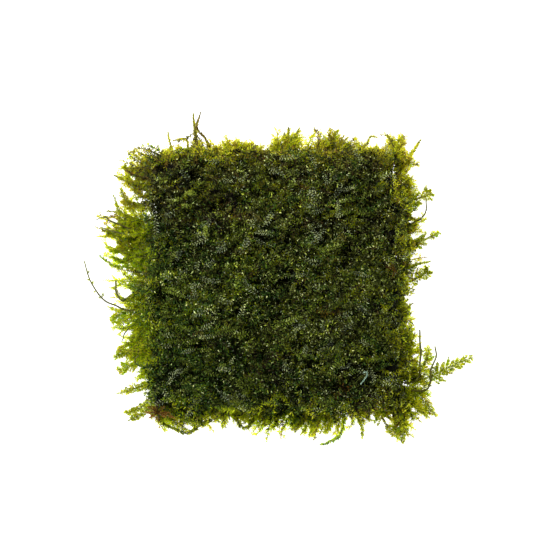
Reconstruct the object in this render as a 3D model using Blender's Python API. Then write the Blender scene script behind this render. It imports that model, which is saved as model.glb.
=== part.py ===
"""A square clump of wet pleurocarpous moss, lying flat: one dense turf with short
shoots grown into it, long leafy fronds and bare stems that leave it under its rim,
one dead sprig and two short ends of the thread that once tied the moss down.
Metres, +Z up. The origin is the middle of the underside, and the turf is square
to X and Y."""

import random
from typing import NamedTuple

import bmesh
import bpy
from mathutils import Euler, Vector, noise
from mathutils.bvhtree import BVHTree

MM = 0.001

# Driving dimensions, in millimetres.
TURF_SIDE = 80.0
# How far the rim stands out past the turf's nominal sides.
LEFT_OVERHANG, RIGHT_OVERHANG = 4.6, 2.2
FRONT_OVERHANG, BACK_OVERHANG = 3.4, 2.8
WALL_INSET = 1.8  # how far the wall under the rim stands back from those sides
TURF_HEIGHT = 10.2
RIM_HEIGHT = 7.6
RIM_TUCK = 0.7
UNDERCUT_HEIGHT = 5.0
UNDERCUT_RISE = 0.2
TOP_SHARE = 0.965  # of the rim's reach
CORNER_POWER = 8.0  # superellipse exponent of the plan
OUTLINE_WANDER = 1.1
WANDER_WAVES = 3.1  # noise cells along half a side
CELL_JITTER = 0.5
MOUND_HEIGHT = 1.5
MOUND_LENGTH = 17.0
RIM_DROP = 0.9  # how far the skin falls towards the rim
RIM_DROP_POWER = 6
TUFT_LOW, TUFT_HIGH = 0.7, 2.3
TUFT_LEAN = 0.7
TURF_CELLS = 24

# Short shoots fused to the rim.
SHORT_SHOOT_SHARE = 0.42
SHORT_SHOOT_LOW, SHORT_SHOOT_HIGH = 1.8, 4.6
SHORT_SHOOT_TIP = 0.22  # tip size as a share of the root's
SHORT_SHOOT_TURN = 0.35  # radians either way
SHORT_SHOOT_RISE = 0.14  # slope
KEEP_OFF = 2.9  # from a frond that climbs to the undercut

# Fronds and stems leave the wall in three storeys under the rim.
STOREYS = (1.0, 2.5, 4.0)
ROOT_GAP = 0.45
TIP_DROOP = 0.35
FROND_THICKNESS = 0.95
TOOTH_SHARE = 0.52  # width between two teeth
TOOTH_STEPS = 4  # path samples from one tooth to the next
ROOT_SHARE = 0.4  # width at the root
ROOT_FLARE = 2.2  # growth in width along a frond, and along an arch
ARCH_FLARE = 4.0
TIP_TAPER, TIP_TAPER_POWER = 0.72, 1.6
STEM_RADIUS = 0.27
STEM_SAMPLES = 11
THREAD_RADIUS = 0.2
THREAD_GAP = 0.3

SEED = 11


class Frond(NamedTuple):
    storey: int
    half_width: float
    teeth: int
    lift: float  # of the tip above its storey
    plan: list  # points from root to tip


class Stem(NamedTuple):
    storey: int
    lift: float
    plan: list


FRONDS = {
    "frond_left_01": Frond(1, 0.9, 5, 2.0, [(-40.2, 27.4), (-46.0, 29.5), (-51.5, 32.1)]),
    "frond_left_02": Frond(0, 1.3, 6, 0.0, [(-40.2, 21.8), (-46.9, 23.1), (-50.0, 28.2)]),
    "frond_left_03": Frond(2, 1.0, 6, 1.5, [(-40.2, 17.5), (-48.8, 20.0), (-51.4, 25.7)]),
    "frond_left_04": Frond(1, 1.1, 6, 0.0, [(-40.2, 15.1), (-48.2, 20.1), (-53.8, 21.1)]),
    "frond_left_05": Frond(0, 2.8, 6, 0.0, [(-40.2, 10.2), (-47.8, 12.6), (-54.0, 14.5)]),
    "frond_left_06": Frond(1, 2.3, 6, 0.0, [(-40.2, 7.1), (-47.8, 8.3), (-53.4, 10.2)]),
    "frond_left_07": Frond(2, 1.5, 7, 1.0, [(-40.2, 2.8), (-46.9, 3.7), (-51.2, 4.0), (-55.7, 7.1)]),
    "frond_left_08": Frond(0, 3.0, 6, 0.0, [(-40.2, -8.3), (-47.8, -10.2), (-52.5, -13.2)]),
    "frond_left_09": Frond(0, 1.3, 6, 0.0, [(-40.2, -18.2), (-46.3, -20.3), (-51.2, -22.5)]),
    "frond_left_10": Frond(1, 1.5, 6, 0.0, [(-40.2, -21.2), (-46.9, -22.5), (-52.0, -24.6)]),
    "frond_left_11": Frond(0, 1.9, 6, 0.0, [(-40.2, -26.2), (-46.3, -27.1), (-50.8, -28.5)]),
    "frond_left_12": Frond(1, 1.0, 6, 0.0, [(-40.2, -32.9), (-44.8, -33.8), (-50.8, -35.7)]),
    "frond_left_13": Frond(0, 1.2, 6, 0.0, [(-38.6, -36.2), (-44.2, -40.6), (-48.8, -41.8)]),
    "frond_left_14": Frond(2, 1.2, 6, 0.0, [(-37.1, -38.2), (-42.6, -41.5), (-47.2, -43.8)]),
    "frond_front_01": Frond(1, 1.2, 5, 0.0, [(9.1, -39.4), (6.6, -44.0), (4.2, -47.1)]),
    "frond_front_02": Frond(0, 0.8, 6, 0.0, [(14.6, -39.4), (11.5, -44.9), (8.7, -48.8)]),
    "frond_front_03": Frond(2, 1.3, 5, 0.0, [(15.8, -39.4), (14.9, -43.4), (14.0, -48.0)]),
    "frond_front_04": Frond(
        0, 1.1, 8, 0.0, [(20.2, -39.4), (19.5, -46.5), (17.1, -49.8), (12.4, -51.7)]
    ),
    "frond_front_05": Frond(1, 1.1, 6, 0.0, [(22.0, -39.4), (25.1, -45.5), (25.4, -49.4)]),
    "frond_front_06": Frond(0, 2.4, 6, 0.0, [(30.9, -39.4), (32.5, -44.6), (36.2, -48.5)]),
    "frond_front_07": Frond(1, 1.9, 7, 0.0, [(35.2, -39.0), (38.0, -44.9), (37.5, -50.5)]),
    "frond_front_08": Frond(2, 0.9, 5, 0.0, [(38.9, -37.2), (42.9, -40.3), (45.4, -42.9)]),
    "frond_front_09": Frond(0, 1.7, 6, 0.0, [(39.8, -34.8), (44.2, -37.8), (48.5, -42.9)]),
    "frond_right_01": Frond(
        1, 3.2, 9, 0.0, [(39.8, -33.5), (46.0, -30.5), (52.8, -27.1), (59.7, -24.3)]
    ),
    "frond_right_02": Frond(0, 2.3, 6, 0.0, [(39.8, -29.8), (44.5, -26.8), (46.3, -21.5)]),
    "frond_right_03": Frond(0, 2.0, 4, 0.0, [(39.8, -1.5), (44.3, 1.2), (46.0, 2.6)]),
    "frond_right_04": Frond(2, 0.8, 5, 1.0, [(39.8, 3.4), (42.6, 4.6), (46.4, 5.5)]),
    "frond_right_05": Frond(0, 1.8, 6, 0.0, [(39.8, 11.1), (43.8, 11.7), (49.4, 14.5)]),
    "frond_right_06": Frond(1, 2.5, 5, 0.0, [(39.8, 24.3), (43.5, 25.2), (47.0, 26.6)]),
    "frond_right_07": Frond(1, 1.1, 6, 1.5, [(38.3, 34.2), (41.1, 39.4), (43.4, 43.1)]),
    "frond_back_01": Frond(2, 1.0, 5, 1.0, [(33.6, 39.1), (34.6, 41.2), (32.9, 44.6)]),
    "frond_back_02": Frond(0, 0.9, 6, 0.0, [(24.5, 39.1), (26.9, 42.2), (28.2, 44.4), (30.2, 44.0)]),
    "frond_back_03": Frond(1, 3.0, 5, 0.0, [(16.8, 39.1), (17.0, 42.0), (16.5, 46.2)]),
    "frond_back_04": Frond(0, 0.9, 5, 0.0, [(4.4, 39.1), (4.6, 43.4), (6.0, 47.2)]),
    "frond_back_05": Frond(1, 0.9, 5, 1.5, [(1.7, 39.1), (2.3, 43.1), (2.6, 46.8)]),
    "frond_back_06": Frond(1, 1.0, 8, 2.0, [(-26.0, 39.1), (-26.6, 46.8), (-26.9, 51.0)]),
    "frond_back_07": Frond(
        2, 0.7, 8, 3.0, [(-21.1, 39.1), (-23.2, 43.4), (-25.8, 46.6), (-24.5, 51.2)]
    ),
    "frond_back_08": Frond(
        0, 0.7, 6, 0.0, [(-29.5, 39.1), (-28.8, 42.4), (-30.6, 43.6), (-33.4, 43.0)]
    ),
    "frond_back_09": Frond(1, 1.1, 5, 1.0, [(-33.4, 39.1), (-34.2, 42.0), (-34.8, 45.4)]),
    "frond_back_10": Frond(2, 1.1, 6, 0.0, [(-37.0, 36.5), (-42.3, 36.6), (-46.1, 39.4)]),
    "frond_back_11": Frond(1, 1.7, 5, 0.0, [(-39.5, 32.0), (-43.8, 33.2), (-48.3, 33.9)]),
}

# Leafy shoots whose two ends are both under the rim.
ARCHES = {
    "frond_arch_front_left": Frond(
        0, 0.8, 10, 0.0,
        [(-35.4, -39.4), (-37.1, -44.0), (-33.4, -46.3), (-28.8, -48.0),
         (-24.5, -45.1), (-20.5, -43.4), (-17.9, -39.4)],
    ),
    "frond_arch_front_middle": Frond(
        1, 0.6, 7, 0.0, [(-14.6, -39.4), (-13.6, -43.7), (-10.3, -46.2), (-5.7, -39.4)]
    ),
}

DEAD_SPRIGS = {
    "dead_sprig": Frond(1, 1.1, 5, 0.0, [(-32.4, -39.6), (-37.2, -42.0), (-40.8, -41.2)]),
}

STEMS = {
    "stem_left_long": Stem(
        2, -2.5,
        [(-40.2, -10.2), (-46.0, -9.8), (-50.3, -8.6), (-54.9, -6.2), (-58.9, -0.9), (-60.9, 5.5)],
    ),
    "stem_left_loop": Stem(
        1, 0.0, [(-40.2, -2.8), (-46.0, -4.9), (-48.8, -6.8), (-50.8, -4.3), (-51.2, -0.6)]
    ),
    "stem_left_high": Stem(2, 0.5, [(-40.2, 13.2), (-51.5, 17.5), (-54.0, 19.0), (-56.9, 18.4)]),
    "stem_left_low": Stem(2, -1.0, [(-40.2, 11.2), (-52.5, 15.0), (-55.8, 15.9)]),
    "stem_left_curl": Stem(
        2, 0.0, [(-40.2, -28.6), (-43.8, -26.9), (-44.9, -24.8), (-43.4, -23.4), (-42.4, -24.6)]
    ),
    "stem_left_thin": Stem(2, -1.5, [(-40.2, -12.6), (-46.3, -14.6), (-49.4, -19.4)]),
    "stem_right_inner": Stem(
        2, 1.0, [(39.4, -33.4), (42.3, -31.0), (43.2, -25.8), (43.2, -20.0), (42.9, -15.7)]
    ),
    "stem_right_outer": Stem(
        2, 0.0,
        [(39.8, -35.4), (44.6, -34.6), (46.4, -31.0), (46.7, -27.4), (48.3, -23.7), (47.7, -20.9)],
    ),
    "stem_right_ring": Stem(2, 0.0, [(39.8, 16.6), (42.6, 18.2), (44.8, 20.4), (45.2, 24.8)]),
}

# Plan points of the thread on the turf, and of the end that shows under the rim.
THREAD_LOOP = [(24.2, -31.9), (25.3, -30.6), (26.2, -29.2), (26.1, -28.2), (25.1, -28.3)]
THREAD_END = Stem(2, 0.0, [(-16.4, -39.4), (-16.2, -41.4), (-15.6, -43.6)])


def clear_scene():
    for obj in list(bpy.data.objects):
        bpy.data.objects.remove(obj, do_unlink=True)


def material(name, colour, roughness):
    made = bpy.data.materials.new(name)
    made.use_nodes = True
    shader = made.node_tree.nodes["Principled BSDF"]
    shader.inputs["Base Color"].default_value = (*colour, 1.0)
    shader.inputs["Roughness"].default_value = roughness
    shader.inputs["Metallic"].default_value = 0.0
    return made


def link(obj, finish):
    obj.data.materials.append(finish)
    bpy.context.scene.collection.objects.link(obj)
    return obj


def on_outline(x, y, half_x, half_y):
    """The point of the rounded square with these half sides on the ray through (x, y)."""
    power = CORNER_POWER
    reach = (abs(x / half_x) ** power + abs(y / half_y) ** power) ** (1 / power)
    return x / reach, y / reach


def on_wall(x, y, gap=0.0):
    half = TURF_SIDE / 2 - WALL_INSET + gap
    return on_outline(x, y, half, half)


def on_rim(x, y, tuck=0.0):
    """The rim's outline towards (x, y), with its slow wander."""
    ray = Vector((x, y, 0.0)) / max(abs(x), abs(y))
    wander = OUTLINE_WANDER * noise.noise(ray * WANDER_WAVES)
    half = TURF_SIDE / 2 + wander - tuck
    half_x = half + (LEFT_OVERHANG if x < 0 else RIGHT_OVERHANG)
    half_y = half + (FRONT_OVERHANG if y < 0 else BACK_OVERHANG)
    return on_outline(x, y, half_x, half_y)


def smooth_path(points, samples):
    """Catmull-Rom samples through the points, evenly shared between their spans."""
    points = [Vector(p) for p in points]
    ends = [2 * points[0] - points[1], *points, 2 * points[-1] - points[-2]]
    spans = len(points) - 1
    found = []
    for step in range(samples + 1):
        place = step / samples * spans
        span = min(int(place), spans - 1)
        t = place - span
        a, b, c, d = ends[span : span + 4]
        found.append(
            0.5 * (2 * b + (c - a) * t + (2 * a - 5 * b + 4 * c - d) * t**2
                   + (3 * b - a - 3 * c + d) * t**3)
        )
    return found


def shoot_path(shoot, samples, both_ends=False):
    """The centreline of a frond or stem: its root is pinned to the wall under the
    rim, and its height eases from its storey to the tip."""
    plan = list(shoot.plan)
    plan[0] = on_wall(*plan[0], gap=ROOT_GAP)
    if both_ends:
        plan[-1] = on_wall(*plan[-1], gap=ROOT_GAP)
    path = smooth_path([(x, y, 0.0) for x, y in plan], samples)
    for step, point in enumerate(path):
        t = step / samples
        droop = 0.0 if both_ends else TIP_DROOP * t
        point.z = STOREYS[shoot.storey] + shoot.lift * t**2 - droop
    return path


def side_of(path, step):
    """The level direction across the path at a step."""
    along = path[min(step + 1, len(path) - 1)] - path[max(step - 1, 0)]
    return Vector((-along.y, along.x, 0.0)).normalized()


def frond_width(t):
    """Half width against the widest: narrow root, full by a third, pointed tip."""
    return min(1.0, ROOT_SHARE + ROOT_FLARE * t) * (1.0 - TIP_TAPER * t**TIP_TAPER_POWER)


def arch_width(t):
    """The same for a shoot that is rooted at both its ends."""
    return min(1.0, ROOT_SHARE + ARCH_FLARE * min(t, 1.0 - t))


def build_frond(name, frond, finish, both_ends=False):
    """A flat leafy shoot: rhombic rings along the path, alternately wide and
    narrow, so that both edges carry teeth that point to the tip."""
    steps = TOOTH_STEPS * frond.teeth
    path = shoot_path(frond, steps, both_ends)
    maker = bmesh.new()
    rings = []
    for start in range(0, steps, TOOTH_STEPS):
        for step, tooth_share in ((start, TOOTH_SHARE), (start + TOOTH_STEPS - 1, 1.0)):
            share = arch_width(step / steps) if both_ends else frond_width(step / steps)
            side = side_of(path, step) * frond.half_width * share * tooth_share
            rise = Vector((0.0, 0.0, FROND_THICKNESS / 2 * (1.0 + share) / 2))
            centre = path[step]
            corners = (centre + side, centre + rise, centre - side, centre - rise)
            rings.append([maker.verts.new(corner * MM) for corner in corners])
    for first, second in zip(rings, rings[1:]):
        for (a, b), (c, d) in zip(around(first), around(second)):
            maker.faces.new((a, b, d, c))
    maker.faces.new(rings[0])
    tip = maker.verts.new(path[-1] * MM)
    for a, b in around(rings[-1]):
        maker.faces.new((a, b, tip))
    bmesh.ops.recalc_face_normals(maker, faces=maker.faces)
    mesh = bpy.data.meshes.new(name)
    maker.to_mesh(mesh)
    maker.free()
    return link(bpy.data.objects.new(name, mesh), finish)


def around(ring):
    """The ring's neighbouring pairs, all the way round."""
    return zip(ring, ring[1:] + ring[:1])


def build_tube(name, path, radius, finish):
    curve = bpy.data.curves.new(name, "CURVE")
    curve.dimensions = "3D"
    curve.bevel_depth = radius * MM
    curve.bevel_resolution = 1
    curve.use_fill_caps = True
    spline = curve.splines.new("POLY")
    spline.points.add(len(path) - 1)
    for point, place in zip(spline.points, path):
        point.co = (*(place * MM), 1.0)
    return link(bpy.data.objects.new(name, curve), finish)


def top_height(x, y):
    """Height of the turf's skin before its tufts, over the plan in millimetres."""
    mound = noise.fractal(Vector((x, y, SEED)) / MOUND_LENGTH, 0.9, 2.1, 3)
    edge = max(abs(x), abs(y)) / (TURF_SIDE / 2)
    return TURF_HEIGHT + MOUND_HEIGHT * mound - RIM_DROP * edge**RIM_DROP_POWER


def place_turf_top(maker, chance):
    """Spreads a unit grid over the turf's plan and lifts it to the turf's skin."""
    for vert in maker.verts:
        share = max(abs(vert.co.x), abs(vert.co.y))
        x = y = 0.0
        if share > 0.5 / TURF_CELLS:  # all but the middle vertex
            rim_x, rim_y = on_rim(vert.co.x, vert.co.y)
            x, y = rim_x * share * TOP_SHARE, rim_y * share * TOP_SHARE
        if not vert.is_boundary:
            x += chance.uniform(-CELL_JITTER, CELL_JITTER)
            y += chance.uniform(-CELL_JITTER, CELL_JITTER)
        vert.co = Vector((x, y, top_height(x, y))) * MM


def extrude_ring(maker, edges, outline, height):
    """Extrudes the open edge loop to an outline of the plan at one height."""
    made = bmesh.ops.extrude_edge_only(maker, edges=edges)["geom"]
    for vert in only(made, bmesh.types.BMVert):
        vert.co = Vector((*outline(vert.co.x / MM, vert.co.y / MM), height)) * MM
    ring = [edge for edge in only(made, bmesh.types.BMEdge) if edge.is_boundary]
    return ring, only(made, bmesh.types.BMFace)


def only(made, kind):
    return [part for part in made if isinstance(part, kind)]


def raise_tufts(maker, faces, chance):
    """A leaning point on every face of the top: the tufts."""
    poked = bmesh.ops.poke(maker, faces=faces)
    for vert in poked["verts"]:
        height = chance.uniform(TUFT_LOW, TUFT_HIGH)
        lean_x = chance.uniform(-TUFT_LEAN, TUFT_LEAN)
        lean_y = chance.uniform(-TUFT_LEAN, TUFT_LEAN)
        vert.co += Vector((lean_x, lean_y, height)) * MM


def grow_short_shoots(maker, faces, chance, keep_clear):
    """Draws some of the rim's faces outwards to points, clear of climbing fronds."""
    chosen = []
    for face in faces:
        if chance.random() > SHORT_SHOOT_SHARE:
            continue
        centre = face.calc_center_median() / MM
        flat = Vector((centre.x, centre.y))
        if all((flat - other).length > KEEP_OFF for other in keep_clear):
            chosen.append(face)
    drawn = bmesh.ops.extrude_discrete_faces(maker, faces=chosen)["faces"]
    for face in drawn:
        centre = face.calc_center_median()
        way = Vector((face.normal.x, face.normal.y, 0.0)).normalized()
        way.rotate(Euler((0.0, 0.0, chance.uniform(-SHORT_SHOOT_TURN, SHORT_SHOOT_TURN))))
        way.z = SHORT_SHOOT_RISE
        way *= chance.uniform(SHORT_SHOOT_LOW, SHORT_SHOOT_HIGH) * MM
        for vert in face.verts:
            vert.co = centre + (vert.co - centre) * SHORT_SHOOT_TIP + way


def build_turf(finish, keep_clear):
    """The turf is one closed solid with a flat underside at z = 0."""
    chance = random.Random(SEED)
    maker = bmesh.new()
    bmesh.ops.create_grid(maker, x_segments=TURF_CELLS, y_segments=TURF_CELLS, size=1.0)
    top_faces = list(maker.faces)
    place_turf_top(maker, chance)
    ring = [edge for edge in maker.edges if edge.is_boundary]
    ring, upper = extrude_ring(maker, ring, on_rim, RIM_HEIGHT)
    ring, lower = extrude_ring(
        maker, ring, lambda x, y: on_rim(x, y, tuck=RIM_TUCK), UNDERCUT_HEIGHT
    )
    ring, _ = extrude_ring(maker, ring, on_wall, UNDERCUT_HEIGHT + UNDERCUT_RISE)
    ring, _ = extrude_ring(maker, ring, on_wall, 0.0)
    fan = bmesh.ops.extrude_edge_only(maker, edges=ring)["geom"]
    bmesh.ops.pointmerge(maker, verts=only(fan, bmesh.types.BMVert), merge_co=(0.0, 0.0, 0.0))
    bmesh.ops.recalc_face_normals(maker, faces=maker.faces)
    raise_tufts(maker, top_faces, chance)
    grow_short_shoots(maker, upper + lower, chance, keep_clear)
    bmesh.ops.recalc_face_normals(maker, faces=maker.faces)
    mesh = bpy.data.meshes.new("moss_turf")
    maker.to_mesh(mesh)
    maker.free()
    return link(bpy.data.objects.new("moss_turf", mesh), finish)


def climbing_points():
    """Plan points where a frond or a stem reaches up to the undercut."""
    climbing = []
    for shoot in [*FRONDS.values(), *STEMS.values()]:
        for point in shoot_path(shoot, STEM_SAMPLES):
            if point.z + FROND_THICKNESS > UNDERCUT_HEIGHT:
                climbing.append(point.to_2d())
    return climbing


def thread_over(turf, plan):
    """The thread's path over the turf, level, just clear of the highest tuft under it."""
    tree = BVHTree.FromPolygons(
        [v.co for v in turf.data.vertices], [p.vertices[:] for p in turf.data.polygons]
    )
    path = smooth_path([(x, y, 0.0) for x, y in plan], STEM_SAMPLES)
    heights = []
    for point in path:
        for shift in (-THREAD_RADIUS, 0.0, THREAD_RADIUS):
            start = Vector((point.x + shift, point.y + shift, 2 * TURF_HEIGHT)) * MM
            heights.append(tree.ray_cast(start, Vector((0, 0, -1)))[0].z / MM)
    for point in path:
        point.z = max(heights) + THREAD_RADIUS + THREAD_GAP
    return path


def main():
    clear_scene()
    turf_green = material("moss turf green", (0.035, 0.065, 0.008), 0.5)
    fringe_green = material("moss fringe green", (0.22, 0.33, 0.02), 0.5)
    stem_olive = material("bare stem olive", (0.06, 0.07, 0.02), 0.5)
    dead_brown = material("dead moss brown", (0.25, 0.09, 0.015), 0.6)
    thread_teal = material("tie thread teal", (0.15, 0.45, 0.36), 0.35)

    turf = build_turf(turf_green, climbing_points())
    for name, frond in FRONDS.items():
        build_frond(name, frond, fringe_green)
    for name, frond in ARCHES.items():
        build_frond(name, frond, fringe_green, both_ends=True)
    for name, frond in DEAD_SPRIGS.items():
        build_frond(name, frond, dead_brown)
    for name, stem in STEMS.items():
        build_tube(name, shoot_path(stem, STEM_SAMPLES), STEM_RADIUS, stem_olive)
    build_tube("tie_thread_loop", thread_over(turf, THREAD_LOOP), THREAD_RADIUS, thread_teal)
    end_path = shoot_path(THREAD_END, STEM_SAMPLES)
    build_tube("tie_thread_end", end_path, THREAD_RADIUS, thread_teal)


main()
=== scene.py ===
import math

import bpy
import numpy as np
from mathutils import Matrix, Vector, noise


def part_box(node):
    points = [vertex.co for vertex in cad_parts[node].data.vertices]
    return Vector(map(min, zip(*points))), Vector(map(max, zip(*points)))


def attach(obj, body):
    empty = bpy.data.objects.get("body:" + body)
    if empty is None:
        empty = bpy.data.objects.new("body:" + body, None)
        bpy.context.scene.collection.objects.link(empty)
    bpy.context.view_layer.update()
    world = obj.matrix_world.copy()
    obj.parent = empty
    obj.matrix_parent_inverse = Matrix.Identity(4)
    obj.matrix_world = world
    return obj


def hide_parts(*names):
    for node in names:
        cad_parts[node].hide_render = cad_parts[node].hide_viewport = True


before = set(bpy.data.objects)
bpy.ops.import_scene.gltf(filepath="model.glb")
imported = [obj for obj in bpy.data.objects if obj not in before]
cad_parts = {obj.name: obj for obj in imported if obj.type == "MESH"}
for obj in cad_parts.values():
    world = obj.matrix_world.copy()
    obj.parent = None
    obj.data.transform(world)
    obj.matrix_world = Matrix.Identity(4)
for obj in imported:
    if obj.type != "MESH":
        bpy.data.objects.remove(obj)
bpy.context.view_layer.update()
mm = 0.001
print("frame loaded:", len(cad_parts), "CAD nodes")

bpy.context.scene.view_settings.view_transform = "Standard"


# camera: straight above, a little off the turf's middle
cameraSetup = {
    "middle": (-4.3, 3.85),  # mm
    "seenWidth": 164.0,  # mm, across the picture at half the turf's height
    "seenHeight": 6.0,
    "lens": 100.0,
    "sensor": 36.0,
    "clipStart": 0.01,  # metres
}


def placeCamera():
    bpy.ops.object.select_all(action="DESELECT")
    distance = cameraSetup["seenWidth"] * cameraSetup["lens"] / cameraSetup["sensor"]
    x, y = cameraSetup["middle"]
    high = distance + cameraSetup["seenHeight"]
    bpy.ops.object.camera_add(location=(x * mm, y * mm, high * mm), rotation=(0, 0, 0))
    camera = bpy.context.object
    camera.name = "camera"
    camera.data.lens = cameraSetup["lens"]
    camera.data.sensor_width = cameraSetup["sensor"]
    camera.data.clip_start = cameraSetup["clipStart"]
    bpy.context.scene.camera = camera


placeCamera()


class Value:
    # one socket of a node tree, with plain arithmetic
    def __init__(self, tree, socket):
        self.tree = tree
        self.socket = socket

    def math(self, operation, other=0.0, swap=False):
        pair = (other, self) if swap else (self, other)
        return self.tree.node("ShaderNodeMath", {"operation": operation}, {0: pair[0], 1: pair[1]})

    def __add__(self, other):
        return self.math("ADD", other)

    def __sub__(self, other):
        return self.math("SUBTRACT", other)

    def __rsub__(self, other):
        return self.math("SUBTRACT", other, swap=True)

    def __mul__(self, other):
        return self.math("MULTIPLY", other)

    def __truediv__(self, other):
        return self.math("DIVIDE", other)

    def __gt__(self, other):
        return self.math("GREATER_THAN", other)

    __radd__ = __add__
    __rmul__ = __mul__

    def out(self, name):
        return Value(self.tree, self.socket.node.outputs[name])


class Tree:
    def __init__(self, nodeTree):
        self.nodeTree = nodeTree

    def node(self, kind, settings=None, inputs=None):
        made = self.nodeTree.nodes.new(kind)
        for key, value in (settings or {}).items():
            if key == "stops":
                setStops(made.color_ramp, value)
            else:
                setattr(made, key, value)
        for key, value in (inputs or {}).items():
            links = value if isinstance(value, list) else [value]
            for link in links:
                if isinstance(link, Value):
                    self.nodeTree.links.new(link.socket, made.inputs[key])
                else:
                    made.inputs[key].default_value = link
        outputs = [o for o in made.outputs if o.enabled]
        return Value(self, outputs[0]) if outputs else made


def setStops(ramp, stops):
    while len(ramp.elements) < len(stops):
        ramp.elements.new(1.0)
    for element, (place, colour) in zip(ramp.elements, stops):
        element.position = place
        element.color = (*colour, 1.0)


def newMaterial(name):
    made = bpy.data.materials.new(name)
    made.use_nodes = True
    made.node_tree.nodes.clear()
    return made, Tree(made.node_tree)


def mixColours(tree, factor, first, second, blend="MIX"):
    return tree.node(
        "ShaderNodeMix", {"data_type": "RGBA", "blend_type": blend},
        {0: factor, 6: first, 7: second},
    )


# the moss's colours: tone runs from the old, shaded parts to the young tips in the
# light, and each kind of leaf has a row of its own in the map
mossColours = {
    "green": [
        (0.0, (0.004, 0.005, 0.0001)), (0.2, (0.016, 0.021, 0.0004)), (0.42, (0.135, 0.164, 0.017)),
        (0.6, (0.35, 0.41, 0.045)), (0.78, (0.74, 0.81, 0.014)), (1.0, (0.94, 0.96, 0.05)),
    ],
    "fresh": [
        (0.0, (0.002, 0.005, 0.0001)), (0.2, (0.008, 0.021, 0.0004)), (0.42, (0.06, 0.14, 0.014)),
        (0.6, (0.22, 0.39, 0.04)), (0.78, (0.6, 0.8, 0.014)), (1.0, (0.86, 0.95, 0.05)),
    ],
    "brown": [
        (0.0, (0.008, 0.006, 0.004)), (0.35, (0.042, 0.029, 0.011)), (0.65, (0.21, 0.145, 0.03)),
        (1.0, (0.6, 0.4, 0.09)),
    ],
    "gold": [
        (0.0, (0.02, 0.018, 0.001)), (0.4, (0.13, 0.122, 0.016)), (0.6, (0.37, 0.35, 0.05)),
        (0.8, (0.84, 0.76, 0.03)), (1.0, (0.96, 0.9, 0.08)),
    ],
    "rust": [
        (0.0, (0.03, 0.013, 0.002)), (0.5, (0.34, 0.15, 0.014)), (1.0, (0.85, 0.5, 0.09)),
    ],
    # pale leaves that stand for painted glints on the wet film
    "paleGlint": [
        (0.0, (0.05, 0.06, 0.018)), (0.3, (0.27, 0.33, 0.09)), (0.6, (0.68, 0.77, 0.23)),
        (1.0, (0.92, 0.95, 0.4)),
    ],
    "lit": [
        (0.0, (0.01, 0.014, 0.0004)), (0.3, (0.07, 0.1, 0.006)), (0.6, (0.31, 0.41, 0.03)),
        (1.0, (0.82, 0.92, 0.12)),
    ],
    "stem": [
        (0.0, (0.012, 0.01, 0.004)), (0.35, (0.05, 0.044, 0.01)), (0.7, (0.14, 0.135, 0.022)),
        (1.0, (0.3, 0.32, 0.05)),
    ],
}
kinds = {name: row for row, name in enumerate(mossColours)}
mapRows = len(kinds)
mapName = "OFBake"
toneShare = 0.93  # of the map's width; the rest runs across a leaf
rowEdge = 0.04  # of a row's height, left free below and above

mossFinish = {
    "roughness": 0.28,
    "specular": 0.3,
    "specularTint": (0.8, 0.95, 0.25, 1.0),
    "coat": 0.02,  # the film of water
    "coatRoughness": 0.14,
    # painted shade at each leaf's base, where the leaves overlap
    "rootShade": 0.03,
    "youngRoot": 1.0,  # young leaves are more evenly light
    "tipLight": (1.8, 1.8, 5.0),  # the tips are lighter and paler: partly their own colour, partly a painted highlight
    "youngTip": (0.58, 0.56, 0.96),  # but less so on young leaves
    "letsThrough": (0.03, 3.0, 0.94),  # share of light through a leaf: least, growth, most
    "throughPale": 0.2,  # of that, through a pale leaf of painted glint, a lit leaf or a stem
}


def makeMossMaterial():
    made, tree = newMaterial("wet moss")
    uv = tree.node("ShaderNodeTexCoord").out("UV")
    split = tree.node("ShaderNodeSeparateXYZ", None, {0: uv})
    tone = split.out("X")
    row = split.out("Y") * float(mapRows)
    colour = None
    for name, stops in mossColours.items():
        ramp = tree.node("ShaderNodeValToRGB", {"stops": stops}, {0: tone})
        here = row > float(kinds[name])
        colour = ramp if colour is None else mixColours(tree, here, colour, ramp)
    # each leaf is darkened towards its base as painted shade where the leaves overlap, and lightened and
    # paled at its tip, partly as a painted highlight
    along = row.math("FRACT")
    young = tone * tone
    root = mossFinish["rootShade"] + mossFinish["youngRoot"] * young
    high = along * along * along
    shade = [root + (light - light * less * young - root) * high
             for light, less in zip(mossFinish["tipLight"], mossFinish["youngTip"])]
    shade = tree.node("ShaderNodeCombineXYZ", None, dict(enumerate(shade)))
    colour = mixColours(tree, 1.0, colour, shade, "MULTIPLY")
    body = tree.node("ShaderNodeBsdfPrincipled", None, {
        "Base Color": colour,
        "Roughness": mossFinish["roughness"],
        "Specular IOR Level": mossFinish["specular"],
        "Specular Tint": mossFinish["specularTint"],
        "Coat Weight": mossFinish["coat"],
        "Coat Roughness": mossFinish["coatRoughness"],
    })
    through = tree.node("ShaderNodeBsdfTranslucent", None, {"Color": colour})
    least, growth, most = mossFinish["letsThrough"]
    factor = (least + growth * tone.math("POWER", 4.0)).math("MINIMUM", most)
    factor = factor * (1 - (1 - mossFinish["throughPale"]) * (row > float(kinds["paleGlint"])))
    both = tree.node("ShaderNodeMixShader", None, {0: factor, 1: body, 2: through})
    tree.node("ShaderNodeOutputMaterial", None, {"Surface": both})
    return made


mossMaterial = makeMossMaterial()
print("moss material made, rows:", ", ".join(kinds))


# a leaf points along +Y from its base, one unit long and wide, and is hollow along its
# rib. the fine one has a bent tip and is for shoots that are seen one by one
leafShape = {"shoulder": -0.12, "hollow": -0.2, "tipDrop": -0.14}


def startLeaf(name, filling):
    bpy.ops.object.select_all(action="DESELECT")
    bpy.ops.mesh.primitive_circle_add(
        vertices=4, radius=0.5, fill_type=filling, location=(0, 0.5, 0)
    )
    leaf = bpy.context.object
    leaf.name = name
    bpy.ops.object.transform_apply(location=True)
    return leaf


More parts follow.
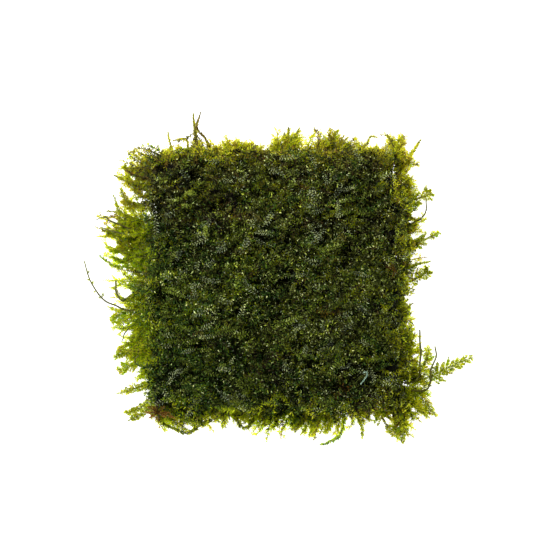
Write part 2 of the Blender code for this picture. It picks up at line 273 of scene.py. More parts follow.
def pickPoints(leaf, test):
    # leaves edit mode on, with only the points that pass the test selected
    chosen = [v.index for v in leaf.data.vertices if test(v.co)]
    bpy.ops.object.mode_set(mode="EDIT")
    bpy.ops.mesh.select_all(action="DESELECT")
    bpy.ops.object.mode_set(mode="OBJECT")
    for index in chosen:
        leaf.data.vertices[index].select = True
    bpy.ops.object.mode_set(mode="EDIT")


def movePoints(leaf, test, move):
    pickPoints(leaf, test)
    bpy.ops.transform.translate(value=move)
    bpy.ops.object.mode_set(mode="OBJECT")


def makePlainLeaf():
    leaf = startLeaf("plainLeaf", "NGON")
    pickPoints(leaf, lambda co: abs(co.x) < 0.1)
    bpy.ops.mesh.vert_connect()
    bpy.ops.object.mode_set(mode="OBJECT")
    movePoints(leaf, lambda co: abs(co.x) > 0.4, (0, leafShape["shoulder"], -leafShape["hollow"]))
    return leaf


def makeFineLeaf():
    leaf = startLeaf("fineLeaf", "TRIFAN")
    movePoints(leaf, lambda co: abs(co.x) > 0.4, (0, leafShape["shoulder"], 0))
    movePoints(leaf, lambda co: co.y > 0.9, (0, 0, leafShape["tipDrop"]))
    movePoints(leaf, lambda co: abs(co.x) < 0.1 and 0.4 < co.y < 0.6, (0, 0, leafShape["hollow"]))
    return leaf


def makeGrower(pattern, ringSides):
    # grows a mesh of stem lines and leaf points into tubes and leaves, all real faces
    group = bpy.data.node_groups.new("grow" + pattern.name, "GeometryNodeTree")
    group.interface.new_socket("Geometry", in_out="INPUT", socket_type="NodeSocketGeometry")
    group.interface.new_socket("Geometry", in_out="OUTPUT", socket_type="NodeSocketGeometry")
    tree = Tree(group)

    def read(name, kind="FLOAT"):
        return tree.node("GeometryNodeInputNamedAttribute", {"data_type": kind}, {"Name": name})

    def store(geometry, name, value, kind="FLOAT", domain="POINT"):
        return tree.node(
            "GeometryNodeStoreNamedAttribute", {"data_type": kind, "domain": domain},
            {"Geometry": geometry, "Name": name, 3: value},
        )

    def storeMap(geometry, across, along):
        u = read("tone") * toneShare + across * (1 - toneShare)
        v = (read("kind") + rowEdge + along * (1 - 2 * rowEdge)) / float(mapRows)
        place = tree.node("ShaderNodeCombineXYZ", None, {0: u, 1: v})
        return store(geometry, mapName, place, "FLOAT2", "CORNER")

    seeds = tree.node("NodeGroupInput")
    parted = tree.node("GeometryNodeSeparateGeometry", None, {0: seeds, 1: read("isLeaf")})
    turn = tree.node(
        "FunctionNodeAxesToRotation", {"primary_axis": "Y", "secondary_axis": "Z"},
        {0: read("along", "FLOAT_VECTOR"), 1: read("facing", "FLOAT_VECTOR")},
    )
    leaves = tree.node("GeometryNodeInstanceOnPoints", None, {
        "Points": parted,
        "Instance": tree.node("GeometryNodeObjectInfo", None, {0: pattern}).out("Geometry"),
        "Rotation": turn, "Scale": read("size", "FLOAT_VECTOR"),
    })
    leaves = tree.node("GeometryNodeRealizeInstances", None, {0: leaves})
    onLeaf = tree.node("ShaderNodeSeparateXYZ", None, {0: read("UVMap", "FLOAT_VECTOR")})
    leaves = storeMap(leaves, onLeaf.out("X"), onLeaf.out("Y"))

    lines = tree.node("GeometryNodeMeshToCurve", None, {0: parted.out("Inverted")})
    lines = store(lines, "lengthways", tree.node("GeometryNodeSplineParameter"))
    ring = tree.node("GeometryNodeCurvePrimitiveCircle", None, {0: ringSides, 4: 1.0})
    ring = store(ring, "round", tree.node("GeometryNodeSplineParameter"))
    tubes = tree.node("GeometryNodeCurveToMesh", None,
                      {0: lines, 1: ring, 2: read("radius"), 3: True})
    tubes = storeMap(tubes, read("round"), read("lengthways"))
    both = tree.node("GeometryNodeJoinGeometry", None, {0: [leaves, tubes]})
    tree.node("NodeGroupOutput", None, {0: both})
    return group


leafPatterns = {"plain": makePlainLeaf(), "fine": makeFineLeaf()}
growers = {"plain": makeGrower(leafPatterns["plain"], 3), "fine": makeGrower(leafPatterns["fine"], 6)}


class Bed:
    # stems and leaves, in millimetres, that wait to be grown into one piece
    def __init__(self):
        self.stems = []
        self.leaves = []

    def addStem(self, points, tone, radius, kind="stem"):
        self.stems.append((points, tone, radius, np.full(len(points), kinds[kind])))

    def addLeaves(self, *columns):
        self.leaves.append(columns)


# in mm: nothing reaches below the lowest, and what stands above the highest is pressed
# down by a share
heights = {"lowest": 0.06, "highest": 12.4, "pressed": 0.55}


def layOut(name, bed):
    # a mesh of the bed's stem lines and leaf points, with what the grower reads of them
    stemPoints = np.concatenate([s[0] for s in bed.stems])
    places = np.concatenate([stemPoints] + [leaf[0] for leaf in bed.leaves])
    edges, start = [], 0
    for stem in bed.stems:
        edges += [(start + i, start + i + 1) for i in range(len(stem[0]) - 1)]
        start += len(stem[0])
    mesh = bpy.data.meshes.new(name)
    mesh.from_pydata((places * mm).tolist(), edges, [])

    def column(label, kind, stemValues, leafValues):
        filled = np.concatenate([np.ravel(stemValues), *(np.ravel(v) for v in leafValues)])
        key = "vector" if kind == "FLOAT_VECTOR" else "value"
        mesh.attributes.new(label, kind, "POINT").data.foreach_set(key, filled.astype(np.float32))

    blank = np.zeros((start, 3))
    column("isLeaf", "FLOAT", blank[:, 0], [np.ones(len(leaf[0])) for leaf in bed.leaves])
    column("along", "FLOAT_VECTOR", blank, [leaf[1] for leaf in bed.leaves])
    column("facing", "FLOAT_VECTOR", blank, [leaf[2] for leaf in bed.leaves])
    column("size", "FLOAT_VECTOR", blank, [leaf[3] * mm for leaf in bed.leaves])
    column("tone", "FLOAT", np.concatenate([s[1] for s in bed.stems]),
           [leaf[4] for leaf in bed.leaves])
    column("kind", "FLOAT", np.concatenate([s[3] for s in bed.stems]),
           [leaf[5] for leaf in bed.leaves])
    column("radius", "FLOAT", np.concatenate([s[2] * mm for s in bed.stems]),
           [np.zeros(len(leaf[0])) for leaf in bed.leaves])
    return mesh


def growPiece(name, bed, leafName="plain", replaced=()):
    bpy.ops.object.select_all(action="DESELECT")
    piece = bpy.data.objects.new(name, layOut(name, bed))
    bpy.context.scene.collection.objects.link(piece)
    piece.select_set(True)
    bpy.context.view_layer.objects.active = piece
    piece.modifiers.new("grow", "NODES").node_group = growers[leafName]
    bpy.ops.object.modifier_apply(modifier="grow")
    mesh = piece.data
    points = np.zeros(len(mesh.vertices) * 3, np.float32)
    mesh.vertices.foreach_get("co", points)
    over = np.maximum(points[2::3] - heights["highest"] * mm, 0)
    points[2::3] = np.maximum(points[2::3] - heights["pressed"] * over, heights["lowest"] * mm)
    mesh.vertices.foreach_set("co", points)
    mesh.materials.clear()
    mesh.materials.append(mossMaterial)
    keep = {mapName, "position", ".edge_verts", ".corner_vert", ".corner_edge", "sharp_face"}
    for label in [a.name for a in mesh.attributes if a.name not in keep]:
        mesh.attributes.remove(mesh.attributes[label])
    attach(piece, "root")
    if replaced:
        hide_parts(*replaced)
    print(name, "grown:", sum(len(p.vertices) - 2 for p in mesh.polygons), "triangles")


def unit(vectors):
    length = np.linalg.norm(vectors, axis=-1, keepdims=True)
    return vectors / np.maximum(length, 1e-9)


def smoothWay(points, samples):
    # a Catmull-Rom line through the points
    points = [np.array(p, float) for p in points]
    ends = [2 * points[0] - points[1], *points, 2 * points[-1] - points[-2]]
    spans = len(points) - 1
    found = []
    for step in range(samples + 1):
        place = step / samples * spans
        span = min(int(place), spans - 1)
        t = place - span
        a, b, c, d = ends[span : span + 4]
        found.append(0.5 * (2 * b + (c - a) * t + (2 * a - 5 * b + 4 * c - d) * t**2
                            + (3 * b - a - 3 * c + d) * t**3))
    return np.array(found)


# how a leafy shoot is built; sizes in mm, angles in degrees unless noted
shootLook = {
    "leafLength": 1.2,
    "leafWidth": 0.46,
    "spacing": 0.4,
    "spread": 50.0,
    "spreadJitter": 7.0,
    "roll": 20.0,
    "roundTurn": 2.4,  # radians from leaf to leaf where they stand all round the stem
    "shootRoll": 0.35,
    "facingJitter": 0.14,
    "stemRadius": 0.1,
    "stemStep": 1,  # every how many of the path's points the stem takes
    "stemTip": 0.4,  # the tip's share of the stem's radius
    "stemDrop": 0.05,  # how much darker in tone the stem is
    "tipClose": 0.6,  # how far the last leaves close up
    "firstLeaf": 0.55,  # share of a leaf's full length
    "tipTaper": 0.42,  # how much shorter the last leaf is
    "sizeJitter": 0.15,
    "widthJitter": 0.1,
    "toneJitter": 0.1,
    "ownKind": 0.8,  # share of a shoot's leaves that are of its own kind
    "stemKind": "stem",
    "paleLift": 0.3,  # pale leaves, painted glints, are lighter, shorter and narrower
    "paleSize": 0.6,
    "paleWidth": 0.85,
    "tipShade": 0.0,  # how much darker in tone the last leaves are
}


def pickKinds(chance, mix, count, ownShare):
    # most leaves are of the shoot's own kind, which isn't the pale kind of painted glints unless all of them
    # are
    names = list(mix)
    share = np.array([mix[name] for name in names])
    steady = np.array([0.0 if name == "paleGlint" and len(names) > 1 else mix[name] for name in names])
    own = chance.choice(len(names), p=steady / steady.sum())
    picked = chance.choice(len(names), count, p=share / share.sum())
    picked = np.where(chance.random(count) < ownShare, own, picked)
    return np.array([kinds[name] for name in names])[picked]


def leafyShoot(bed, chance, path, tones, mix, look=shootLook, flat=True, scale=1.0, reference=None):
    # leaves in two rows when flat, else all round the stem
    steps = np.linalg.norm(np.diff(path, axis=0), axis=1)
    reach = np.concatenate([[0.0], np.cumsum(steps)])
    total = reach[-1]
    count = max(3, int(total / (look["spacing"] * scale)))
    place = (np.arange(count) + 0.6) * total / count
    t = place / total
    at = np.column_stack([np.interp(place, reach, path[:, k]) for k in range(3)])
    ways = np.gradient(path, reach, axis=0)
    way = unit(np.column_stack([np.interp(place, reach, ways[:, k]) for k in range(3)]))
    if reference is None:
        reference = np.array([0.0, 0.0, 1.0])
    side = unit(np.cross(way, reference + chance.normal(0, look["shootRoll"], 3)))
    up = np.cross(side, way)
    turn = math.pi if flat else look["roundTurn"]
    roll = math.radians(look["roll"]) * chance.normal(0, 0.6, count)
    phase = np.arange(count) * turn + roll
    radial = side * np.cos(phase)[:, None] + up * np.sin(phase)[:, None]
    spread = np.radians(chance.normal(look["spread"], look["spreadJitter"], count))
    spread = spread * (1 - look["tipClose"] * t**8)
    cos, sin = np.cos(spread)[:, None], np.sin(spread)[:, None]
    along = way * cos + radial * sin
    inward = way * sin - radial * cos
    facing = up + 0.45 * inward if flat else inward
    facing = facing + chance.normal(0, look["facingJitter"], (count, 3))
    length = look["leafLength"] * scale * chance.normal(1, look["sizeJitter"], count)
    first = look["firstLeaf"]
    length *= (first + (1 - first) * np.minimum(1, 5 * t)) * (1 - look["tipTaper"] * t**6)
    width = length * look["leafWidth"] / look["leafLength"] * chance.normal(1, look["widthJitter"], count)
    tone = np.interp(t, [0, 1], tones) + chance.normal(0, look["toneJitter"], count)
    tone -= look["tipShade"] * t**2
    kind = pickKinds(chance, mix, count, look["ownKind"])
    # pale leaves are painted glints
    paleGlint = kind == kinds["paleGlint"]
    tone = tone + look["paleLift"] * paleGlint
    length = length * np.where(paleGlint, look["paleSize"], 1)
    width = width * np.where(paleGlint, look["paleWidth"], 1)
    bed.addLeaves(at, along, facing, np.column_stack([width, length, length]),
                  np.clip(tone, 0, 1), kind)
    if look["stemRadius"]:
        line = path[:: look["stemStep"]]
        stemTone = np.clip(np.linspace(tones[0], tones[1], len(line)) - look["stemDrop"], 0, 1)
        radius = look["stemRadius"] * scale * np.linspace(1, look["stemTip"], len(line))
        bed.addStem(line, stemTone, radius, look["stemKind"])


# smooth random fields over the moss: size in mm, seed
fields = {
    "tuft": (5.5, 51.0), "smallTuft": (2.4, 52.0), "hollowRim": (1.7, 60.0), "age": (9.0, 7.0),
    "speckle": (3.2, 9.0), "fringeStart": (5.0, 3.3), "fresh": (10.0, 55.0), "paleGlint": (5.0, 33.0),
    "brown": (8.0, 21.0), "gold": (7.0, 44.0), "ragged": (3.6, 14.0), "clumps": (6.0, 70.0),
    "lean": (5.0, 80.0), "curl": (8.0, 81.0), "frondTone": (20.0, 5.0), "feltSide": (3.6, 51.0),
}


def patch(x, y, field):
    # about -1 to 1
    size, seed = fields[field]
    return 1.6 * noise.noise(Vector((x / size, y / size, seed)))


# the turf's skin, as the CAD has it, with its tufts
turf = {
    "half": 40.0,
    "height": 10.2,
    "moundHeight": 1.5,
    "moundLength": 17.0,
    "moundSeed": 11,
    "rimDrop": 0.9,
    "rimDropPower": 6,
    "tufts": {"tuft": 0.9, "smallTuft": 0.6},  # height of each field, in mm
    "hollowDepth": 3.0,
    "hollowThinning": 0.75,  # share of the shoots that a hollow's middle lacks
    "planted": (-41.0, 39.5),  # from where to where shoots start, both ways
    "ragged": (2.4, 0.6),  # how unevenly the line that they reach runs, and how far inside
    # how far the shoots on top reach, at places along each side
    "left": [(-42, -43.0), (-12, -43.0), (-6, -42.0), (12, -42.5), (16, -40.4), (31, -40.6), (35, -42.0)],
    "right": [(-40, 38.0), (-5, 38.0), (4, 39.8), (22, 39.8), (28, 36.8), (40, 37.2)],
    "front": -42.0, "back": 41.0,
}
# the larger hollows between the tufts, sunk into the turf and darkened with painted shade: place and radius,
# in mm
hollows = [
    (-24.0, 34.0, 2.2), (-26.7, 31.8, 2.0), (-33.7, 9.8, 2.6), (-19.0, 22.0, 3.2),
    (-11.6, 24.0, 2.6), (-6.5, 25.0, 2.4), (30.6, 17.2, 3.0), (20.4, 7.4, 3.0),
    (24.2, 13.4, 2.2), (19.8, 26.3, 2.4), (-35.5, -4.5, 2.4), (-13.0, -9.2, 2.4),
    (-24.0, -21.3, 3.2), (-4.2, -22.4, 3.2), (-26.2, -29.8, 2.6), (9.0, -27.0, 2.4),
    (14.0, 24.0, 1.8), (17.0, -33.5, 2.4), (33.0, 2.0, 2.2), (2.0, 12.0, 1.8),
    (-31.0, 3.0, 2.0), (27.0, -31.0, 2.0), (-2.0, 31.0, 1.8), (6.0, -3.0, 1.8),
    (-36.5, 20.5, 2.2), (-36.0, 25.5, 1.6), (-30.5, -12.5, 1.8), (-33.0, -22.0, 1.8), (-14.0, 10.0, 1.8),
]


def skinHeight(x, y):
    place = Vector((x, y, turf["moundSeed"])) / turf["moundLength"]
    mound = noise.fractal(place, 0.9, 2.1, 3)
    edge = max(abs(x), abs(y)) / turf["half"]
    return turf["height"] + turf["moundHeight"] * mound - turf["rimDrop"] * edge ** turf["rimDropPower"]


def hollowShare(x, y):
    share = 0.0
    for cx, cy, radius in hollows:
        away = math.hypot(x - cx, y - cy) / (radius * (1 + 0.35 * patch(x, y, "hollowRim")))
        share = max(share, 1 - away**3)
    return share


def topHeight(x, y):
    tufts = sum(height * patch(x, y, field) for field, height in turf["tufts"].items())
    return skinHeight(x, y) + tufts - turf["hollowDepth"] * hollowShare(x, y)


def nearness(x, y, cx, cy, radius):
    # 1 in the middle of a round place, 0 from its rim on
    return max(0.0, 1 - (math.hypot(x - cx, y - cy) / radius) ** 2)


# lighter zones and darker ones on top, the darker ones painted shade: place, radius in mm, tone
zoneStrength = 1.2
toneAndShadeZones = [
    (-29.0, 27.0, 11.0, -0.11), (27.0, -24.0, 13.0, -0.08), (-8.0, -34.0, 9.0, -0.1),
    (8.0, -35.0, 8.0, -0.1), (25.0, -34.0, 8.0, -0.08),
    (-23.0, -28.5, 10.0, -0.14), (-3.2, -17.0, 7.0, -0.1), (-16.0, 20.6, 7.0, -0.12),
    (-35.0, 17.0, 7.5, -0.12), (26.0, 27.0, 7.5, -0.12), (8.0, -26.5, 6.0, -0.12),
    (21.0, -22.0, 8.0, -0.07), (-34.0, -31.0, 6.0, -0.1), (14.0, -3.0, 8.0, -0.06),
    (-36.0, -8.0, 5.0, -0.12), (-27.0, -6.5, 11.0, 0.04), (9.0, 33.5, 8.0, 0.1),
    (-6.0, 16.6, 5.5, 0.1), (18.5, 18.0, 5.5, 0.09), (1.4, -20.5, 5.0, 0.09),
    (-12.5, 34.5, 7.0, 0.1), (-4.0, 29.0, 15.0, 0.05), (16.0, 33.0, 10.0, 0.04),
    (34.5, 31.0, 7.0, 0.14), (35.0, -8.0, 9.0, 0.06),
]


def zoneToneAndShade(x, y):
    tone = 0.0
    for cx, cy, radius, amount in toneAndShadeZones:
        tone += zoneStrength * amount * nearness(x, y, cx, cy, radius)
    return tone


# where the white ground shines through: 0 over the thick turf, 1 in the fringe.
# each side: where that starts at places along it, and over how many mm it grows
groundLight = {
    "left": ([(-38, 37.5), (-28, 36.0), (-8, 36.0), (0, 38.5), (16, 39.0), (28, 37.5), (38, 36.0)], 7.0),
    "right": ([(-38, 34.5), (0, 34.5), (24, 34.0), (38, 30.5)], 4.0),
    "front": ([(-38, 37.6), (38, 37.6)], 4.5),
    "back": ([(-38, 35.0), (38, 34.5)], 6.5),
}
startUneven = 3.2  # mm, how unevenly those lines run


def fringeShare(x, y):
    shares = []
    for side, value, place in (("left", -x, y), ("right", x, y), ("front", -y, x), ("back", y, x)):
        starts, wide = groundLight[side]
        start = np.interp(place, *zip(*starts))
        shares.append((value + startUneven * patch(x, y, "fringeStart") - start) / wide)
    return min(1.0, max(0.0, max(shares)))


# where the moss is brown or golden: place, radius in mm, kind, share
stains = [
    (-35.0, 37.0, 6.5, "gold", 2.2), (-34.0, 34.0, 6.0, "brown", 1.4), (-6.5, 37.5, 4.5, "rust", 0.7),
    (-44.0, 21.0, 8.0, "green", 2.5), (-16.0, 21.0, 9.0, "brown", 0.8), (8.0, 24.0, 6.0, "brown", 0.7),
    (34.0, 2.5, 3.5, "rust", 0.6), (27.0, -36.0, 5.0, "brown", 0.9), (-4.0, -24.0, 8.0, "brown", 0.7),
    (18.0, -33.0, 4.5, "rust", 0.35), (-34.0, -41.5, 4.0, "rust", 0.8), (-43.0, -22.0, 4.0, "gold", 1.2),
    (43.0, 14.0, 4.0, "gold", 1.2), (-22.0, 40.0, 9.0, "gold", 1.6), (-6.0, 39.0, 9.0, "gold", 1.4),
    (10.0, 41.0, 9.0, "gold", 1.2), (25.0, 40.0, 10.0, "gold", 1.6), (38.0, 38.0, 8.0, "gold", 1.8),
    (-44.0, 8.0, 14.0, "fresh", 3.0), (-40.0, -20.0, 20.0, "fresh", 3.4), (-28.0, -30.0, 18.0, "fresh", 3.4),
    (-27.0, 46.0, 11.0, "gold", 1.6), (-46.0, 34.0, 8.0, "gold", 2.6), (-42.0, 32.0, 7.0, "brown", 1.2),
    (-28.0, 2.0, 18.0, "fresh", 1.0), (0.0, -38.0, 18.0, "fresh", 1.6), (-3.0, -3.0, 20.0, "fresh", 0.8),
]


def agePatch(x, y):
    # young moss above 0, old and dark below
    return patch(x, y, "age")


def leafMix(x, y, edge):
    # shares of the kinds of leaf around a place; the back is more golden and brown
    # where the pale leaves of painted glints gather: more on old dark moss, fewer in the fringe
    speckled = max(0.0, 0.35 - agePatch(x, y) + 0.6 * patch(x, y, "paleGlint"))
    mix = {
        "green": 1.0,
        "fresh": 0.15 + 0.9 * max(0.0, patch(x, y, "fresh")),
        "paleGlint": (0.32 + 1.5 * speckled) * (1 - 0.85 * edge),
        "lit": 0.25 * (1 - edge),
        "brown": 0.05 + 0.5 * max(0.0, patch(x, y, "brown") - 0.25) * (1 - 0.5 * edge),
        "gold": 0.05 + 0.25 * edge + 0.2 * max(0.0, patch(x, y, "gold") - 0.2),
        "rust": 0.0,
    }
    for cx, cy, radius, kind, share in stains:
        mix[kind] += share * nearness(x, y, cx, cy, radius)
    backward = max(0.0, (y + 4) / turf["half"])
    mix["gold"] += 0.45 * backward
    mix["brown"] += 0.25 * backward
    return mix


# tone over the turf, and how much each thing adds to it; the hollow's part is painted shade, and the fringe's
# partly painted backlight where the ground shines through
turfTone = {"base": 0.3, "age": 0.2, "speckle": 0.15, "leftward": 0.02, "hollow": -0.2, "fringe": 0.62}


def baseTone(x, y, edge):
    green = turfTone["age"] * agePatch(x, y) + turfTone["speckle"] * patch(x, y, "speckle")
    leftward = turfTone["leftward"] * max(0.0, -x / turf["half"])
    inside = (green + zoneToneAndShade(x, y)) * (1 - edge)
    # painted shade in the hollows
    hollow = turfTone["hollow"] * hollowShare(x, y)
    # the fringe's lift is partly painted backlight, where the ground shines through
    return turfTone["base"] + inside + leftward + hollow + turfTone["fringe"] * edge


# where the white ground shows between the fringe's shoots: place and radius
clearings = np.array([
    (-48.4, -4.2, 1.9), (-52.4, 11.3, 1.4), (-49.7, 7.0, 1.0), (-47.4, -16.5, 0.9), (-41.4, 24.8, 0.8),
    (-44.8, 37.9, 0.7), (-42.2, 26.6, 0.6), (-45.4, 31.0, 0.5), (-46.8, 19.4, 0.7), (-51.5, 18.0, 0.8),
    (-46.9, 15.6, 0.5), (-43.9, -27.6, 0.6), (-49.3, 4.3, 0.6), (-49.4, -8.2, 0.8),
    (-43.5, 36.3, 0.5), (-43.4, 24.4, 0.5), (-47.6, -21.4, 0.4), (-47.0, -31.0, 1.2), (-46.4, -37.0, 1.2),
    (-29.1, 42.0, 1.6), (-33.0, 40.3, 0.5), (-23.6, 41.2, 0.6), (-6.9, 42.2, 0.6),
    (40.1, 32.7, 0.8), (42.0, 19.8, 1.3), (40.6, 17.6, 0.7), (43.6, 22.1, 0.6),
    (45.4, 12.5, 0.6), (42.7, 25.4, 0.5), (41.9, -19.4, 0.8), (41.9, -16.7, 0.5), (41.8, -24.0, 0.7),
    (43.8, -24.8, 0.9), (45.0, -30.9, 0.6), (42.7, -32.8, 0.6), (39.3, -32.3, 1.0), (39.2, -37.4, 0.5),
    (41.2, -40.6, 0.5), (-28.8, -45.8, 1.1), (-21.0, -43.3, 0.7), (21.2, -44.0, 0.7), (28.6, -42.6, 0.8),
    (32.4, -44.2, 0.9), (-15.6, -43.6, 0.6),
])
# and what lies on top, which they don't grow over: place, radius, height
uncovered = np.array([(-38.6, -41.2, 2.8, 6.0), (-35.0, -41.2, 2.8, 6.0), (-37.8, -38.8, 2.0, 6.6)])
keepOff = {"bend": 0.55, "from": 1.2, "branch": 0.2}  # mm beyond a clearing's radius


def clearingGaps(xs, ys):
    return np.hypot(xs[:, None] - clearings[:, 0], ys[:, None] - clearings[:, 1]) - clearings[:, 2]


def roundClearings(xs, ys):
    # bends a way on the plan round the clearings
    ahead = unit(np.array([xs[-1] - xs[0], ys[-1] - ys[0]]))
    aside = np.array([-ahead[1], ahead[0]])
    places = np.column_stack([xs, ys])
    for x, y, radius in clearings[(clearingGaps(xs, ys) < keepOff["from"]).any(axis=0)]:
        along, across = (places - (x, y)) @ ahead, (places - (x, y)) @ aside
        angle = np.arctan2(places[:, 1] - y, places[:, 0] - x)
        uneven = 1 + 0.25 * np.sin(2 * angle + 5 * x) + 0.2 * np.sin(3 * angle + 7 * y)
        room = np.sqrt(np.maximum(0, ((radius + keepOff["bend"]) * uneven) ** 2 - along**2))
        hand = 1.0 if across[np.abs(along).argmin()] > 0 else -1.0
        moved = hand * np.maximum(hand * across, room)
        places += (moved - across)[:, None] * aside
    return places[:, 0], places[:, 1]


def inClearing(xs, ys):
    return (clearingGaps(xs, ys) < keepOff["branch"]).any()


def coversSprig(path):
    away = np.hypot(path[:, :1] - uncovered[:, 0], path[:, 1:2] - uncovered[:, 1])
    return ((away < uncovered[:, 2]) & (path[:, 2:3] > uncovered[:, 3])).any()


# shoots that creep over the turf
creeping = {
    "count": 3000,
    "length": (6.0, 12.5),
    "stray": 0.8,  # radians from the left or right, where most of them head
    "curl": 0.9,  # radians
    "depth": (-2.0, 0.5),  # below and above the tufts
    "hump": (0.1, 0.9),
    "rootSink": 1.0,
    "toneSpread": 0.2,
    "depthShade": 0.24,  # painted shade: this much lighter in tone for each mm that it lies higher
    "youngShare": 0.1,
    "youngTone": 0.22,
    "branchChance": 0.5,
    "branchesAt": (2, 4, 5, 6),
    "branchLength": (1.4, 3.2),
    "branchAngle": 0.85,
    "seed": 101,
}
turfLook = dict(shootLook, leafLength=1.2, leafWidth=0.48, spacing=0.46, stemRadius=0.08, stemStep=2,
                toneJitter=0.21, ownKind=0.68)


def turfPlace(chance):
    # an even spread over the turf's plan, thinner in the hollows
    while True:
        x, y = chance.uniform(*turf["planted"]), chance.uniform(*turf["planted"])
        if chance.random() > turf["hollowThinning"] * hollowShare(x, y):
            return x, y


def withinReach(xs, ys):
    uneven, inside = turf["ragged"]
    ragged = uneven * patch(xs[-1], ys[-1], "ragged") - inside
    left, right = (np.interp(ys[-1], *zip(*turf[side])) for side in ("left", "right"))
    return (left - ragged < min(xs) and max(xs) < right + ragged
            and turf["front"] - ragged < min(ys) and max(ys) < turf["back"] + ragged)


def levelPath(x, y, heading, length, curl, steps, hook=0.0):
    t = np.linspace(0, 1, steps)
    angles = heading + curl * (t - 0.5) + hook * t**3
    step = length / (steps - 1)
    xs = x + step * np.concatenate([[0], np.cumsum(np.cos(angles[:-1]))])
    ys = y + step * np.concatenate([[0], np.cumsum(np.sin(angles[:-1]))])
    return xs, ys


def crossHeading(chance):
    return chance.choice([0.0, math.pi]) + chance.normal(0, creeping["stray"])


def creepingShoot(bed, chance, x, y):
    heading = crossHeading(chance)
    length = chance.uniform(*creeping["length"])
    xs, ys = levelPath(x, y, heading, length, chance.normal(0, creeping["curl"]), 9)
    if not withinReach(xs, ys):
        return
    xs, ys = roundClearings(xs, ys)
    t = np.linspace(0, 1, len(xs))
    depth = chance.uniform(*creeping["depth"])
    hump = chance.uniform(*creeping["hump"])
    top = np.array([topHeight(a, b) for a, b in zip(xs, ys)])
    zs = top + depth + hump * np.sin(math.pi * t) - creeping["rootSink"] * (1 - t) ** 3
    path = np.column_stack([xs, ys, zs])
    if coversSprig(path):
        return
    edge = fringeShare(xs[-1], ys[-1])
    own = chance.normal(0, creeping["toneSpread"]) + creeping["depthShade"] * (depth + 0.2)
    if chance.random() < creeping["youngShare"] and depth > -1.0:
        own += creeping["youngTone"]
    tone = baseTone(x, y, fringeShare(x, y)) + own - 0.05
    tip = baseTone(xs[-1], ys[-1], edge) + own + 0.06
    mix = leafMix(xs[4], ys[4], edge)
    leafyShoot(bed, chance, path, (tone, tip), mix, turfLook)
    if chance.random() < creeping["branchChance"]:
        for start in creeping["branchesAt"]:
            branchFrom(bed, chance, path, start, creeping, (tone, tip), mix, turfLook)


branch = {"scale": 0.82, "bend": 0.18, "angleJitter": 0.15, "liftJitter": 0.15}


def branchFrom(bed, chance, path, start, sizes, tones, mix, look, side=None, size=None):
    way = unit(path[start + 1] - path[start])
    across = unit(np.cross(way, [0.0, 0.0, 1.0]))
    side = chance.choice([-1.0, 1.0]) if side is None else side
    angle = sizes["branchAngle"] * chance.normal(1, branch["angleJitter"])
    aim = way * math.cos(angle) + across * side * math.sin(angle)
    length = chance.uniform(*sizes["branchLength"]) if size is None else size
    t = np.linspace(0, 1, 4)[:, None]
    line = path[start] + aim * length * t + way * branch["bend"] * length * t**2
    line[:, 2] += chance.normal(0, branch["liftJitter"]) * length * t[:, 0]
    if inClearing(line[:, 0], line[:, 1]) or coversSprig(line):
        return
    leafyShoot(bed, chance, line, tones, mix, look, scale=branch["scale"])


# fronds with side shoots: from which half width on, in mm, and how the side shoots grow
# to their full length from the root and taper towards the tip
pinnate = {"from": 1.15, "spacing": 0.36, "branchAngle": 0.9, "first": 0.35, "growth": 2.2,
           "taper": 0.8, "sizeJitter": 0.26, "least": 0.6}


def featherOut(bed, chance, path, half, spacing, tones, mix, look):
    # side shoots in two rows, the longest near the root
    length = np.linalg.norm(np.diff(path, axis=0), axis=1).sum()
    count = int(length / spacing)
    fine = smoothWay(list(path), count * 2)
    for step in range(1, count):
        t = step / count
        size = half / math.sin(pinnate["branchAngle"]) * min(1.0, pinnate["first"] + pinnate["growth"] * t)
        size *= (1 - pinnate["taper"] * t**2) * chance.normal(1, pinnate["sizeJitter"])
        if size > pinnate["least"]:
            start = min(2 * step, len(fine) - 2)
            tone = tones[0] + (tones[1] - tones[0]) * t
            branchFrom(bed, chance, fine, start, pinnate, (tone, tone + 0.1), mix, look,
                       side=1.0 if step % 2 else -1.0, size=size)


# short tips that stand up out of the turf: their sunk roots darker in tone as painted shade, their tips
# lighter as painted light
upright = {"count": 2100, "length": (2.4, 4.2), "sink": (-3.2, -1.6), "highest": 0.8, "lean": 0.8,
           "buriedShade": -0.25, "tipTone": 0.1}


def uprightTip(bed, chance, x, y):
    length = chance.uniform(*upright["length"])
    sink = chance.uniform(*upright["sink"])
    heading = chance.uniform(0, 2 * math.pi)
    tilt = chance.normal(0, upright["lean"]) * np.linspace(0.5, 1.4, 5)
    step = length / 4
    flat = step * np.concatenate([[0], np.cumsum(np.sin(tilt[:-1]))])
    rise = sink + step * np.concatenate([[0], np.cumsum(np.cos(tilt[:-1]))])
    rise = np.minimum(rise, upright["highest"])
    path = np.column_stack([x + flat * math.cos(heading), y + flat * math.sin(heading),
                            topHeight(x, y) + rise])
    if coversSprig(path) or inClearing(path[:, 0], path[:, 1]):
        return
    edge = fringeShare(x, y)
    own = chance.normal(0, creeping["toneSpread"])
    if chance.random() < creeping["youngShare"]:
        own += creeping["youngTone"]
    tone = baseTone(x, y, edge) + own
    reference = np.array([math.cos(heading + 1.3), math.sin(heading + 1.3), 0.2])
    tones = (tone + upright["buriedShade"], tone + upright["tipTone"])
    leafyShoot(bed, chance, path, tones, leafMix(x, y, edge), turfLook,
               flat=chance.random() < 0.5, reference=reference)


def growTurf():
    chance = np.random.default_rng(creeping["seed"])
    beds = {(a, b): Bed() for a in ("Front", "Back") for b in ("Left", "Right")}
    for grow, count in ((creepingShoot, creeping["count"]), (uprightTip, upright["count"])):
        for _ in range(count):
            x, y = turfPlace(chance)
            key = ("Front" if y < 0 else "Back", "Left" if x < 0 else "Right")
            grow(beds[key], chance, x, y)
    for (end, hand), bed in beds.items():
        growPiece("turfShoots" + end + hand, bed)


growTurf()


